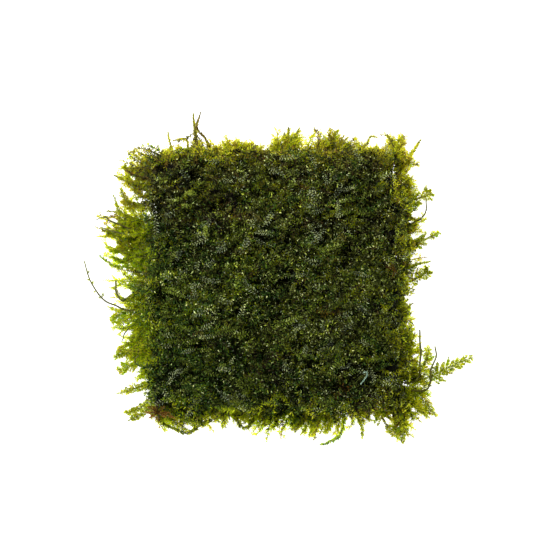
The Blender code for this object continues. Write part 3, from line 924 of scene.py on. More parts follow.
# single shoots that lie on top: kind, tone, half width, way on the plan in mm
lyingShoots = [
    ("lit", 0.72, 1.0, [(-34.0, 30.4), (-36.0, 30.0), (-38.0, 30.6)]),
    ("gold", 0.86, 0.7, [(-19.6, 30.4), (-22.0, 31.4), (-24.2, 31.6)]),
    ("gold", 0.82, 0.6, [(-21.0, 32.6), (-23.4, 33.4), (-24.6, 32.6)]),
    ("lit", 0.86, 0.9, [(-25.6, 25.6), (-27.2, 26.4), (-28.8, 26.2)]),
    ("lit", 0.78, 0.9, [(-29.8, 23.8), (-31.4, 24.4), (-32.6, 24.0)]),
    ("lit", 0.76, 0.8, [(-26.6, 22.6), (-28.4, 22.2), (-30.0, 22.6)]),
    ("lit", 0.88, 0.8, [(-22.0, 12.8), (-22.8, 14.4), (-22.6, 16.2)]),
    ("gold", 0.72, 0.6, [(-5.6, 17.2), (-7.2, 18.8), (-9.4, 20.4)]),
    ("rust", 0.95, 0.7, [(8.8, 28.2), (7.4, 27.6), (6.2, 28.4)]),
    ("gold", 0.86, 1.1, [(20.2, 11.2), (19.0, 12.6), (17.6, 14.0)]),
    ("lit", 0.74, 0.9, [(11.0, 8.6), (14.8, 9.4), (18.6, 10.6)]),
    ("lit", 0.78, 0.6, [(35.0, 14.2), (37.4, 14.2), (38.6, 13.0), (37.2, 12.2)]),
    ("gold", 0.66, 0.5, [(15.6, 35.6), (17.8, 34.4), (20.6, 33.2)]),
    ("gold", 0.76, 0.8, [(18.4, 30.2), (20.4, 30.8)]),
    ("lit", 0.7, 1.3, [(-15.0, -16.6), (-12.6, -17.0), (-10.0, -16.4)]),
    ("lit", 0.62, 1.0, [(-21.8, -17.0), (-17.4, -15.6), (-12.8, -14.6)]),
    ("lit", 0.66, 1.0, [(-36.8, -10.6), (-33.0, -10.8), (-29.2, -10.4)]),
    ("lit", 0.7, 1.1, [(-36.4, -3.0), (-32.8, -3.6), (-29.4, -5.4)]),
    ("lit", 0.66, 1.4, [(-30.6, -31.6), (-28.4, -30.8), (-26.6, -30.0)]),
    ("lit", 0.68, 1.2, [(-0.8, -13.4), (2.6, -12.8), (5.6, -11.6)]),
    ("lit", 0.64, 1.3, [(4.2, -21.6), (6.4, -23.4), (8.6, -25.0)]),
    ("lit", 0.66, 1.3, [(20.6, -24.4), (17.6, -26.0), (14.6, -28.6)]),
    ("lit", 0.66, 1.0, [(-13.4, -30.0), (-12.2, -33.0), (-10.2, -35.2)]),
    ("rust", 0.5, 0.4, [(33.4, 5.4), (34.6, 2.6), (33.8, 0.2)]),
    ("rust", 0.42, 0.4, [(31.8, 3.4), (33.4, 3.6), (35.6, 1.8)]),
]


# and more of them strewn all over
strewn = {
    "count": 420, "length": (2.6, 6.5), "curl": 0.9, "tone": (0.3, 0.62), "half": (0.8, 1.15), "seed": 151,
    # pale leaves are painted glints
    "kinds": {"paleGlint": 0.24, "lit": 0.44, "green": 0.2, "fresh": 0.12},
}
combLook = dict(shootLook, leafLength=1.15, leafWidth=0.42, spacing=0.42, spread=60.0, spreadJitter=5.0,
                roll=6.0, shootRoll=0.25, facingJitter=0.08, stemRadius=0.1, stemDrop=0.3,
                toneJitter=0.1, ownKind=0.85, paleLift=0.04, paleSize=0.92)
litLook = dict(combLook, leafLength=1.2, leafWidth=0.5, spacing=0.36, toneJitter=0.07)
# how both sorts lie: mm over the tufts, share of their tone, share of pale leaves, which are painted glints
lying = {
    "seed": 150, "highest": 13.0, "arch": 0.5,
    "strewn": (1.5, 1.0, 0.25, combLook), "placed": (2.1, 0.85, 0.15, litLook),
}


def strewnShoots():
    chance = np.random.default_rng(strewn["seed"])
    kindNames, shares = zip(*strewn["kinds"].items())
    found = []
    while len(found) < strewn["count"]:
        x, y = turfPlace(chance)
        heading = crossHeading(chance)
        length = chance.uniform(*strewn["length"])
        xs, ys = levelPath(x, y, heading, length, chance.normal(0, strewn["curl"]), 4)
        if not withinReach(xs, ys):
            continue
        # lighter towards the fringe, as painted backlight
        tone = chance.uniform(*strewn["tone"]) + 0.1 * fringeShare(xs[-1], ys[-1])
        kind = chance.choice(kindNames, p=shares)
        found.append((kind, tone, chance.uniform(*strewn["half"]), list(zip(xs, ys))))
    return found


def layShoot(bed, chance, sort, kind, tone, half, plan):
    over, toneScale, paleGlint, look = lying[sort]
    flat = smoothWay(plan, 8)
    zs = [topHeight(x, y) + over for x, y in flat]
    # smoothed over five places, so that it doesn't dip into each gap
    zs = np.convolve(np.pad(zs, 2, mode="edge"), np.ones(5) / 5, mode="valid")
    zs = np.minimum(zs, lying["highest"])
    path = np.column_stack([flat, zs + lying["arch"] * np.sin(np.linspace(0, math.pi, len(flat)))])
    tone *= toneScale
    mix = {"paleGlint": 1.0} if kind == "paleGlint" else {kind: 1.0, "paleGlint": paleGlint}
    leafyShoot(bed, chance, path, (tone - 0.12, tone), mix, look, scale=0.9 * half)


def growLyingShoots():
    chance = np.random.default_rng(lying["seed"])
    bed = Bed()
    for shoot in strewnShoots():
        layShoot(bed, chance, "strewn", *shoot)
    for shoot in lyingShoots:
        layShoot(bed, chance, "placed", *shoot)
    growPiece("lyingShoots", bed)


growLyingShoots()


# shoots out of the turf's sides: a dense short coat, with lengths in mm, and the fringe,
# with lengths as shares of its reach. "combed" is the share that have side shoots, and the
# fringe's are lighter in tone as painted backlight
coat = {"length": (1.8, 3.2), "height": (0.4, 8.0), "tilt": 0.35, "turn": 0.55, "inset": 0.8,
        "clumps": 0.0, "combed": 0.0, "backlightLift": 0.0, "seed": 303}
fringe = {"length": (0.5, 1.2), "height": (0.6, 6.8), "tilt": 0.14, "turn": 0.3, "inset": 1.6,
          "clumps": 0.6, "combed": 0.9, "combedFrom": 3.5, "half": (1.1, 2.3), "spacing": 1.3,
          "backlightLift": 0.09}
fringeLook = dict(shootLook, leafLength=1.08, leafWidth=0.58, spacing=0.31, spread=46.0, spreadJitter=9.0,
                  roll=14.0, shootRoll=0.3, stemRadius=0.19, stemStep=2, stemDrop=0.65, sizeJitter=0.18,
                  toneJitter=0.19, tipShade=0.04)
sideLook = dict(fringeLook, stemRadius=0.1, stemDrop=0.45)
# each side: the way it faces, where its wall stands and from where to where shoots grow, how
# many of each sort, how far the fringe reaches beyond the wall at places along it, in mm,
# and how it leans and curves there, in radians. "thin" is the share left out at a place
sides = {
    "Left": {
        "way": math.pi, "wall": 38.4, "span": (-39.0, 36.0), "coat": 210, "fringe": 325, "further": 1.36,
        "thin": [(-39, 0.1), (10, 0.1), (16, 0.5), (30, 0.4), (36, 0.3)],
        "reach": [(-38, 3.0), (-32, 3.2), (-28, 4.8), (-22, 6.6), (-17, 9.4), (-10, 10.6), (-5, 9.4),
                  (0, 12.4), (4, 13.6), (8, 12.4), (15, 13.4), (22, 10.6), (27, 9.0), (31, 9.6), (36, 8.2)],
        "lean": [(-38, 0.6), (-28, 0.3), (-10, 0.3), (-4, 0), (0, -0.3), (14, -0.2), (24, -0.4),
                 (30, -0.3), (36, 0.15)],
        "hooks": [(-39, 0.2), (-12, 0.2), (-4, -0.6), (4, -1.0), (26, -1.0), (32, 0)], "hookSpread": 0.7,
    },
    "Right": {
        "way": 0.0, "wall": 36.6, "span": (-39.0, 39.0), "coat": 270, "fringe": 330, "further": 1.32,
        "reach": [(-38, 8.0), (-28, 9.0), (-22, 5.4), (-15, 4.4), (-8, 3.2), (0, 4.2), (4, 6.4), (13, 6.0),
                  (22, 6.6), (27, 4.6), (36, 4.0)],
        "lean": [(-38, -0.7), (-31, 0.2), (-24, 0.7), (-10, 1.0), (0, 0.4), (22, 0.3), (30, 0.6), (38, 0.9)],
        "hooks": [(-38, 0), (-26, 0.5), (-10, 0.6), (0, 0.7), (22, 0.7), (38, 0.4)], "hookSpread": 0.7,
    },
    "Front": {
        "way": -math.pi / 2, "wall": 38.6, "span": (-39.0, 39.0), "coat": 320, "fringe": 340, "further": 1.26,
        "reach": [(-41, 5.0), (-36, 7.0), (-24, 8.0), (-18, 5.4), (-13, 6.4), (-4, 8.2), (8, 8.4), (18, 8.0),
                  (28, 4.0), (33, 6.2), (38, 6.4)],
        "lean": [(-36, 0.6), (-26, 0.9), (-18, 0), (-14, -0.6), (6, -0.5), (16, -0.2), (22, 0.2), (38, 0.6)],
        "hooks": [(-36, 0.5), (-20, 0.5), (-12, -0.5), (18, -0.6), (26, 0), (38, 0.2)], "hookSpread": 0.7,
    },
    "Back": {
        "way": math.pi / 2, "wall": 37.0, "span": (-39.0, 39.0), "coat": 320, "fringe": 380, "further": 1.28,
        "reach": [(-39, 2.4), (-32, 3.2), (-28, 4.4), (-8, 5.2), (0, 6.8), (12, 8.0), (18, 6.8), (24, 5.2),
                  (29, 3.6), (38, 2.8)],
        "lean": [(-38, 0.6), (-27, 0.1), (-21, 0.6), (-14, 0), (-8, -0.8), (1, -0.2), (8, -0.5), (24, -0.8),
                 (30, -0.1), (34, 0.5), (39, -0.7)],
        "hooks": [(-39, 0), (39, 0)], "hookSpread": 1.2,
    },
}
sideVaries = {
    "samples": 11,
    "heights": (0.3, 10.6),
    "lean": 0.3,  # radians, as is the curl
    "curl": 0.8,
    "ownCurl": 0.45,
    "cornerFan": (0.4, 5),  # radians at a corner, and how late it begins
    "clumpedShorter": 0.15,
    "droop": 0.1,
    "ownTone": 0.19,
    "tipTone": 0.04,
}


def sideValue(side, what, place):
    return np.interp(place, *zip(*side[what]))


def sidePlace(side, chance, clumping):
    # a place along the side that isn't left out, and how clumped the shoots are there
    while True:
        place = chance.uniform(*side["span"])
        clump = 0.5 + 0.5 * patch(place, side["way"] * 10, "clumps")
        if chance.random() < clumping * clump:
            continue
        if "thin" in side and chance.random() < sideValue(side, "thin", place):
            continue
        return place, clump


def sideShoot(bed, chance, name, sort, leafLook):
    side = sides[name]
    place, clump = sidePlace(side, chance, sort["clumps"])
    out = side["wall"] - sort["inset"]
    root = {"Left": (-out, place), "Right": (out, place),
            "Front": (place, -out), "Back": (place, out)}[name]
    lean = sideValue(side, "lean", place) + sideVaries["lean"] * patch(place, side["way"] * 10, "lean")
    heading = side["way"] + lean + chance.normal(0, sort["turn"])
    corner, late = sideVaries["cornerFan"]
    fan = corner * (place / turf["half"]) ** late
    heading += fan if name in ("Right", "Front") else -fan
    length = chance.uniform(*sort["length"])
    if sort is fringe:
        length *= sideValue(side, "reach", place) * side["further"] + sort["inset"]
        length *= 1 - sideVaries["clumpedShorter"] * clump
    curl = sideVaries["curl"] * patch(place, side["way"] * 10, "curl")
    curl += chance.normal(0, sideVaries["ownCurl"])
    hook = sideValue(side, "hooks", place) + chance.normal(0, side["hookSpread"])
    xs, ys = roundClearings(*levelPath(*root, heading, length, curl, sideVaries["samples"], hook))
    t = np.linspace(0, 1, sideVaries["samples"])
    # the higher ones droop more
    start, droop = chance.uniform(*sort["height"]), sideVaries["droop"]
    tilt = chance.normal(0, sort["tilt"]) - droop - 0.03 * start
    zs = np.clip(start + length * (tilt * t - droop * t**2), *sideVaries["heights"])
    path = np.column_stack([xs, ys, zs])
    if coversSprig(path):
        return
    edges = [fringeShare(xs[0], ys[0]), fringeShare(xs[-1], ys[-1])]
    # lighter the higher they root, and the fringe's lighter still as painted backlight
    own, tip = chance.normal(0, sideVaries["ownTone"]) + start / 60 + sort["backlightLift"], sideVaries["tipTone"]
    tones = (baseTone(xs[0], ys[0], edges[0]) - tip + own, baseTone(xs[-1], ys[-1], edges[1]) + tip + own)
    mix = leafMix(xs[-1], ys[-1], edges[1])
    leafyShoot(bed, chance, path, tones, mix, leafLook)
    if length > fringe["combedFrom"] and chance.random() < sort["combed"]:
        half = chance.uniform(*sort["half"])
        featherOut(bed, chance, path, half, sort["spacing"], tones, mix, sideLook)


# shoots that sweep along the rim: height, tone, way on the plan in mm. the back ones are
# twigs of the golden sprig there, and have no side shoots
sprigMix = {"gold": 1.0, "brown": 0.2}
sweeping = {
    "Left": [
        (4.6, 0.82, [(-37.6, 34.6), (-41.2, 37.6), (-44.6, 39.4), (-47.0, 38.8)]),
        (5.2, 0.8, [(-37.0, 37.4), (-40.4, 39.8), (-44.0, 40.4), (-45.6, 39.6)]),
        (3.6, 0.84, [(-37.6, 32.6), (-42.0, 35.2), (-45.6, 37.4), (-47.4, 39.4)]),
        (3.0, 0.86, [(-38.0, 35.8), (-42.6, 38.4), (-45.0, 38.2)]),
        (4.0, 0.78, [(-38.0, 31.4), (-42.6, 33.6), (-46.8, 36.0), (-48.4, 35.6)]),
        (4.4, 0.76, [(-36.4, 38.2), (-38.8, 40.6), (-41.6, 41.0)]),
        (2.4, 0.8, [(-38.0, 33.8), (-42.0, 36.4), (-44.4, 36.2)]),
        (5.0, 0.72, [(-38.0, 30.0), (-43.4, 31.4), (-48.0, 33.6)]),
    ],
    "Front": [
        (4.4, 0.86, [(-37.6, -39.0), (-34.4, -42.8), (-30.6, -45.4), (-28.2, -46.8)]),
        (4.0, 0.8, [(-36.6, -41.0), (-33.4, -44.2), (-30.4, -46.4)]),
        (4.8, 0.88, [(-35.0, -38.8), (-32.0, -42.2), (-27.8, -44.0), (-25.0, -44.6)]),
        (5.2, 0.84, [(-33.0, -38.2), (-29.0, -41.4), (-24.6, -42.4), (-22.4, -41.8)]),
        (3.4, 0.9, [(-31.4, -39.0), (-27.0, -41.8), (-24.0, -43.6)]),
        (5.0, 0.8, [(-29.6, -37.6), (-25.2, -40.4), (-21.0, -41.0), (-18.0, -40.6)]),
        (3.0, 0.86, [(-34.0, -40.2), (-31.6, -43.0), (-28.0, -44.2)]),
        (4.4, 0.84, [(-26.0, -38.4), (-23.4, -40.6), (-19.2, -42.0), (-16.6, -41.8)]),
        (2.6, 0.82, [(-34.8, -38.2), (-31.4, -42.6), (-29.0, -44.6), (-26.4, -45.4)]),
        (3.8, 0.78, [(-31.6, -37.8), (-30.6, -41.6), (-30.8, -44.4)]),
        (3.4, 0.84, [(-28.4, -38.0), (-27.4, -41.6), (-27.6, -44.6)]),
    ],
    "Right": [
        (3.0, 0.86, [(37.0, -30.0), (41.0, -33.6), (44.6, -35.4), (46.2, -36.4)]),
        (3.6, 0.84, [(37.0, -33.0), (41.4, -35.0), (44.8, -33.6), (46.0, -30.6)]),
        (2.6, 0.88, [(37.5, -28.0), (42.0, -30.0), (45.6, -31.6)]),
        (3.4, 0.86, [(37.0, -26.0), (41.0, -27.6), (44.4, -29.6), (48.0, -30.4)]),
        (2.4, 0.9, [(37.5, -24.0), (40.6, -22.4), (42.0, -19.0)]),
        (2.8, 0.88, [(37.0, -21.0), (40.4, -20.0), (41.8, -16.6)]),
        (3.8, 0.86, [(37.0, -35.6), (42.0, -36.0), (45.6, -34.0)]),
        (1.8, 0.88, [(38.0, -34.4), (42.4, -33.8), (44.8, -31.4)]),
    ],
    "Back": [
        (2.6, 0.66, [(-26.9, 45.2), (-28.2, 44.2), (-29.6, 43.4), (-31.8, 42.8)]),
        (3.0, 0.66, [(-26.0, 38.6), (-26.6, 42.6), (-26.2, 46.2), (-26.9, 49.2)]),
        (3.4, 0.62, [(-24.6, 38.4), (-25.6, 42.4), (-26.2, 45.8), (-25.4, 48.6)]),
        (2.4, 0.66, [(-22.6, 38.6), (-24.2, 41.6), (-25.8, 44.6)]),
    ],
}


def growSweeping(name, bed, chance):
    for height, tone, plan in sweeping[name]:
        flat = smoothWay(plan, 8)
        path = np.column_stack([flat, height - 0.12 * np.arange(len(flat))])
        mix = sprigMix if name == "Back" else leafMix(*plan[-1], 1.0)
        leafyShoot(bed, chance, path, (tone - 0.08, tone + 0.04), mix, fringeLook)
        if name != "Back":
            half = chance.uniform(*fringe["half"])
            featherOut(bed, chance, path, half, fringe["spacing"], (tone, tone + 0.04), mix, sideLook)


def growSides():
    chance = np.random.default_rng(coat["seed"])
    coatBed = Bed()
    for name, side in sides.items():
        for _ in range(side["coat"]):
            sideShoot(coatBed, chance, name, coat, turfLook)
        fringeBed = Bed()
        for _ in range(side["fringe"]):
            sideShoot(fringeBed, chance, name, fringe, fringeLook)
        growSweeping(name, fringeBed, chance)
        growPiece("fringe" + name, fringeBed)
    growPiece("sideCoat", coatBed)


growSides()


# the long fronds, where the CAD has them: which height the root has, half width, lift of
# the tip, and the way on the plan from root to tip, in mm
frondHeights = (1.0, 2.5, 4.0)
tipDroop = 0.35
frondSeed = 404
fronds = {
    "frond_left_01": (1, 0.9, 2.0, [(-38.6, 26.8), (-46.0, 29.5), (-51.5, 32.1)]),
    "frond_left_02": (0, 1.3, 0.0, [(-38.6, 21.4), (-46.9, 23.1), (-50.0, 28.2)]),
    "frond_left_03": (2, 1.0, 1.5, [(-38.6, 17.0), (-48.8, 20.0), (-51.4, 25.7)]),
    "frond_left_04": (1, 1.1, 0.0, [(-38.6, 14.4), (-48.2, 20.1), (-53.8, 21.1)]),
    "frond_left_05": (0, 2.8, 0.0, [(-38.6, 9.8), (-47.8, 12.6), (-54.0, 14.5)]),
    "frond_left_06": (1, 2.3, 0.0, [(-38.6, 6.9), (-47.8, 8.3), (-53.4, 10.2)]),
    "frond_left_07": (2, 1.1, 2.0, [(-38.6, 2.6), (-46.9, 3.7), (-51.2, 4.0), (-55.7, 7.1)]),
    "frond_left_08": (0, 3.0, 0.0, [(-38.6, -8.0), (-47.8, -10.2), (-52.5, -13.2)]),
    "frond_left_09": (0, 1.3, 0.0, [(-38.6, -17.6), (-46.3, -20.3), (-51.2, -22.5)]),
    "frond_left_10": (1, 1.5, 0.0, [(-38.6, -20.6), (-46.9, -22.5), (-52.0, -24.6)]),
    "frond_left_11": (0, 1.9, 0.0, [(-38.6, -25.6), (-46.3, -27.1), (-50.8, -28.5)]),
    "frond_left_12": (1, 1.2, 0.0, [(-38.4, -32.2), (-44.8, -33.8), (-50.8, -35.7)]),
    "frond_left_13": (0, 1.2, 0.0, [(-37.0, -34.7), (-44.2, -40.6), (-48.8, -41.8)]),
    "frond_left_14": (2, 1.2, 0.0, [(-35.0, -36.2), (-42.6, -41.5), (-47.2, -43.8)]),
    "frond_front_01": (1, 1.2, 0.0, [(9.0, -38.6), (6.6, -44.0), (4.2, -47.1)]),
    "frond_front_02": (0, 0.8, 0.0, [(14.4, -38.6), (11.5, -44.9), (8.7, -48.8)]),
    "frond_front_03": (2, 1.3, 0.0, [(15.6, -38.6), (14.9, -43.4), (14.0, -48.0)]),
    "frond_front_04": (0, 1.1, 0.0, [(19.8, -38.6), (19.5, -46.5), (17.1, -49.8), (12.4, -51.7)]),
    "frond_front_05": (1, 1.1, 0.0, [(21.6, -38.6), (25.1, -45.5), (25.4, -49.4)]),
    "frond_front_06": (0, 2.4, 0.0, [(30.0, -38.4), (32.5, -44.6), (36.2, -48.5)]),
    "frond_front_07": (1, 1.9, 0.0, [(33.8, -37.5), (38.0, -44.9), (37.5, -50.5)]),
    "frond_front_08": (2, 0.9, 0.0, [(36.6, -35.0), (42.9, -40.3), (45.4, -42.9)]),
    "frond_front_09": (0, 1.7, 0.0, [(37.8, -33.0), (44.2, -37.8), (48.5, -42.9)]),
    "frond_right_01": (1, 2.4, 0.0, [(38.2, -32.2), (46.0, -30.5), (52.8, -27.1), (59.7, -24.3)]),
    "frond_right_02": (0, 2.3, 0.0, [(38.4, -28.8), (44.5, -26.8), (46.3, -21.5)]),
    "frond_right_03": (0, 2.0, 0.0, [(38.6, -1.5), (44.3, 1.2), (46.0, 2.6)]),
    "frond_right_04": (2, 0.8, 1.0, [(38.6, 3.3), (42.6, 4.6), (46.4, 5.5)]),
    "frond_right_05": (0, 1.8, 0.0, [(38.6, 10.8), (43.8, 11.7), (49.4, 14.5)]),
    "frond_right_06": (1, 2.5, 0.0, [(38.6, 23.6), (43.5, 25.2), (47.0, 26.6)]),
    "frond_right_07": (1, 1.1, 1.5, [(36.4, 32.6), (41.1, 39.4), (43.4, 43.1)]),
    "frond_back_01": (2, 1.0, 1.0, [(32.6, 38.0), (34.6, 41.2), (32.9, 44.6)]),
    "frond_back_02": (0, 0.9, 0.0, [(24.2, 38.6), (26.9, 42.2), (28.2, 44.4), (30.2, 44.0)]),
    "frond_back_03": (1, 3.0, 0.0, [(16.6, 38.6), (17.0, 42.0), (16.5, 46.2)]),
    "frond_back_04": (0, 0.9, 0.0, [(4.4, 38.6), (4.6, 43.4), (6.0, 47.2)]),
    "frond_back_05": (1, 0.9, 1.5, [(1.7, 38.6), (2.3, 43.1), (2.6, 46.8)]),
    "frond_back_06": (1, 1.0, 2.0, [(-25.7, 38.6), (-26.6, 46.8), (-26.9, 51.0)]),
    "frond_back_07": (2, 0.7, 3.0, [(-20.9, 38.6), (-23.2, 43.4), (-25.8, 46.6), (-24.5, 51.2)]),
    "frond_back_08": (0, 0.7, 0.0, [(-29.2, 38.5), (-28.8, 42.4), (-30.6, 43.6), (-33.4, 43.0)]),
    "frond_back_09": (1, 0.7, 1.0, [(-32.6, 38.2), (-34.2, 42.0), (-34.8, 45.4)]),
    "frond_back_10": (2, 1.1, 0.0, [(-35.2, 34.7), (-42.3, 36.6), (-46.1, 39.4)]),
    "frond_back_11": (1, 1.7, 0.0, [(-38.2, 31.0), (-43.8, 33.2), (-48.3, 33.9)]),
    "frond_arch_front_left": (
        0, 0.8, 0.0,
        [(-34.4, -38.0), (-37.1, -44.0), (-33.4, -46.3), (-28.8, -48.0),
         (-24.5, -45.1), (-20.5, -43.4), (-17.6, -38.6)],
    ),
    "frond_arch_front_middle": (1, 0.6, 0.0, [(-14.3, -38.6), (-13.6, -43.7), (-10.3, -46.2), (-5.6, -38.6)]),
    "dead_sprig": (1, 1.1, 0.0, [(-31.6, -38.4), (-37.2, -42.0), (-40.8, -41.2)]),
}
sprig = ("frond_back_06", "frond_back_07", "frond_back_08")


def wayInSpace(storey, lift, plan, samples, bothEnds=False):
    flat = smoothWay(plan, samples)
    t = np.linspace(0, 1, samples + 1)
    zs = frondHeights[storey] + lift * t**2 - (0 if bothEnds else tipDroop) * t
    return np.column_stack([flat, zs])


frondLook = dict(shootLook, leafLength=0.95, leafWidth=0.52, spacing=0.17, spread=44.0, roll=18.0,
                 shootRoll=0.25, stemRadius=0.13, stemDrop=0.1, stemKind="green", toneJitter=0.08,
                 tipClose=0.4, tipShade=0.1)
frondSideLook = dict(frondLook, stemRadius=0.0, spacing=0.19, roll=60.0, leafWidth=0.6)


# the spikes of the dead sprig, which lie on the moss: heights of the stalk and along a
# spike, in mm, and for each spike its tone and its end on the plan
spikes = {
    "middle": (-37.7, -41.2), "stalk": (2.4, 4.5, 7.4), "stalkRadii": (0.3, 0.25, 0.2),
    "heights": (7.4, 8.2), "radii": (0.2, 0.1),
    "ends": [(0.8, -41.4, -40.8), (0.7, -40.6, -39.2), (0.25, -37.9, -38.0), (0.75, -35.6, -38.9),
             (0.9, -33.8, -41.0), (0.85, -32.4, -42.6), (0.2, -37.4, -43.9), (0.8, -40.4, -42.6),
             (0.7, -39.4, -38.9), (0.85, -35.2, -42.4)],
}


def addSpikes(bed, chance):
    stalk = np.array([(*spikes["middle"], z) for z in spikes["stalk"]])
    bed.addStem(stalk, np.full(3, 0.4), np.array(spikes["stalkRadii"]), "rust")
    for tone, x, y in spikes["ends"]:
        line = smoothWay([spikes["middle"], np.mean([spikes["middle"], (x, y)], axis=0) + 0.2, (x, y)], 7)
        path = np.column_stack([line, np.linspace(*spikes["heights"], 8)])
        leafyShoot(bed, chance, path, (tone - 0.15, tone), {"rust": 1.0, "gold": 0.2}, frondSideLook,
                   flat=False, scale=0.8)
        bed.addStem(path, np.full(8, 0.5 * tone), np.linspace(*spikes["radii"], 8), "rust")


def frondColours(name, half, x, y):
    # tones from root to tip, and shares of the kinds of leaf
    if name == "dead_sprig":
        return (0.5, 0.75), {"rust": 1.0, "brown": 0.105}
    if "arch" in name:
        return (0.64, 0.7), {"green": 1.0, "gold": 0.5}
    mix = leafMix(x, y, 1.0)
    mix["brown"] *= 0.3
    mix["fresh"] *= 0.25
    tones = (0.76, 0.78) if half < pinnate["from"] else (0.66, 0.78 + 0.05 * patch(x, y, "frondTone"))
    return tones, sprigMix if name in sprig else mix


def growFrond(name, chance):
    storey, half, lift, plan = fronds[name]
    dead = name == "dead_sprig"
    arch = "arch" in name
    path = wayInSpace(storey, lift, plan, 14, arch)
    path[:, 2] += 0.12 * np.sin(np.linspace(0, 9, len(path)) + chance.uniform(0, 6))
    tones, mix = frondColours(name, half, *plan[-1])
    bed = Bed()
    if dead:
        addSpikes(bed, chance)
    if half < pinnate["from"] and not dead:
        scale = 1.1 if arch else max(0.6, min(1.1, half))
        leafyShoot(bed, chance, path, tones, mix, frondLook, scale=scale)
    else:
        leafyShoot(bed, chance, path, tones, mix, frondLook, scale=0.8)
        featherOut(bed, chance, path, half, pinnate["spacing"], tones, mix, frondSideLook)
    growPiece(name + "_leafy", bed, "fine", [name])


def growFronds():
    chance = np.random.default_rng(frondSeed)
    for name in fronds:
        growFrond(name, chance)


growFronds()


# bare stems with a few small buds: height of the root, lift of the tip, radius, how far
# their leaves stand apart, way
stemSamples = 26
stemSeed = 505
bareStems = {
    "stem_left_long": (2, -2.5, 0.25, 1.6, [(-38.6, -10.2), (-46.0, -9.8), (-50.3, -8.6), (-54.9, -6.2),
                                            (-58.9, -0.9), (-60.9, 5.5)]),
    "stem_left_loop": (1, 0.0, 0.36, 0.3, [(-38.6, -2.7), (-46.0, -4.9), (-48.8, -6.8), (-50.8, -4.3),
                                           (-51.2, -0.6)]),
    "stem_left_high": (2, 0.5, 0.2, 1.0, [(-38.6, 12.7), (-51.5, 17.5), (-54.0, 19.0), (-56.9, 18.4)]),
    "stem_left_low": (2, -1.0, 0.2, 1.2, [(-38.6, 10.7), (-52.5, 15.0), (-55.8, 15.9)]),
    "stem_left_curl": (2, 0.0, 0.22, 0.6, [(-38.5, -27.6), (-43.8, -26.9), (-44.9, -24.8), (-43.4, -23.4),
                                           (-42.4, -24.6)]),
    "stem_left_thin": (2, -1.5, 0.2, 1.2, [(-38.6, -12.1), (-46.3, -14.6), (-49.4, -19.4)]),
    "stem_right_inner": (2, 1.0, 0.29, 0.9, [(38.1, -32.3), (42.3, -31.0), (43.2, -25.8), (43.2, -20.0),
                                             (42.9, -15.7)]),
    "stem_right_outer": (2, 0.0, 0.28, 0.9, [(37.9, -33.9), (44.6, -34.6), (46.4, -31.0), (46.7, -27.4),
                                             (48.3, -23.7), (47.7, -20.9)]),
    "stem_right_ring": (2, 0.0, 0.22, 0.4, [(38.6, 16.2), (42.6, 18.2), (44.8, 20.4), (45.2, 24.8)]),
}
buds = {  # how far along the stem, on which side, length in mm
    "stem_left_long": [(0.4, -1.0, 1.2), (0.42, 1.0, 0.9), (0.62, 1.0, 1.3), (0.64, -1.0, 0.8),
                       (0.73, -1.0, 0.8), (0.8, 1.0, 1.0), (0.81, -1.0, 0.9), (0.92, 1.0, 0.6)],
    "stem_right_outer": [(0.6, 1.0, 0.8)],
}
bareLook = dict(shootLook, leafLength=0.8, leafWidth=0.4, spread=26.0, roll=120.0, stemRadius=0.0)


def growBareStems():
    chance = np.random.default_rng(stemSeed)
    for name, (storey, lift, radius, apart, plan) in bareStems.items():
        path = wayInSpace(storey, lift, plan, stemSamples)
        t = np.linspace(0, 1, len(path))
        # never quite smooth
        path[:, 0] += 0.1 * np.sin(19 * t + chance.uniform(0, 6))
        path[:, 1] += 0.1 * np.sin(23 * t + chance.uniform(0, 6))
        bed = Bed()
        look = dict(bareLook, spacing=apart)
        leafyShoot(bed, chance, path, (0.5, 0.66), {"green": 1.0, "stem": 0.6}, look)
        for share, side, length in buds.get(name, []):
            branchFrom(bed, chance, path, int(share * stemSamples), pinnate, (0.62, 0.7),
                       {"green": 1.0}, frondSideLook, side=side, size=length)
        bed.addStem(path, 0.6 + 0.2 * t, radius * (1.25 - 0.4 * t))
        growPiece(name + "_budded", bed, "fine", [name])


growBareStems()


# the felt of old stems that holds the turf together
felt = {
    "sides": (-38.2, 36.6, -38.2, 37.0),  # left, right, front, back, in mm
    "height": 8.0,
    "underside": 0.8,
    "cuts": 40,
    "below": 2.6,  # mm under the tufts
    "rough": 0.9,
    "grain": 2.2,
    "uneven": (0.1, 1.8),  # mm inward, from left to right
    "edgePower": 6,
    "corner": (38.0, 35.0, 12.0, 1.8),  # the back right one is rounder: place, radius, mm inward
}


def makeFeltMaterial():
    made, tree = newMaterial("matted old stems")
    place = tree.node("ShaderNodeTexCoord").out("Object")
    cloud = tree.node("ShaderNodeTexNoise", None, {"Vector": place, "Scale": 90.0, "Detail": 4.0})
    fibre = tree.node("ShaderNodeTexNoise", None, {"Vector": place, "Scale": 900.0, "Detail": 6.0,
                                                   "Distortion": 1.5})
    # near-black: the old stems' own dark brown darkened further, as painted shade in the gaps between the
    # shoots
    colour = tree.node("ShaderNodeValToRGB", {"stops": [
        (0.3, (0.002, 0.002, 0.001)), (0.5, (0.005, 0.005, 0.002)), (0.68, (0.014, 0.011, 0.004)),
    ]}, {0: cloud * 0.5 + fibre * 0.5})
    bump = tree.node("ShaderNodeBump", None, {"Strength": 0.8, "Distance": 0.0004, "Height": fibre})
    body = tree.node("ShaderNodeBsdfPrincipled", None,
                     {"Base Color": colour, "Roughness": 0.8, "Specular IOR Level": 0.2, "Normal": bump})
    tree.node("ShaderNodeOutputMaterial", None, {"Surface": body})
    return made


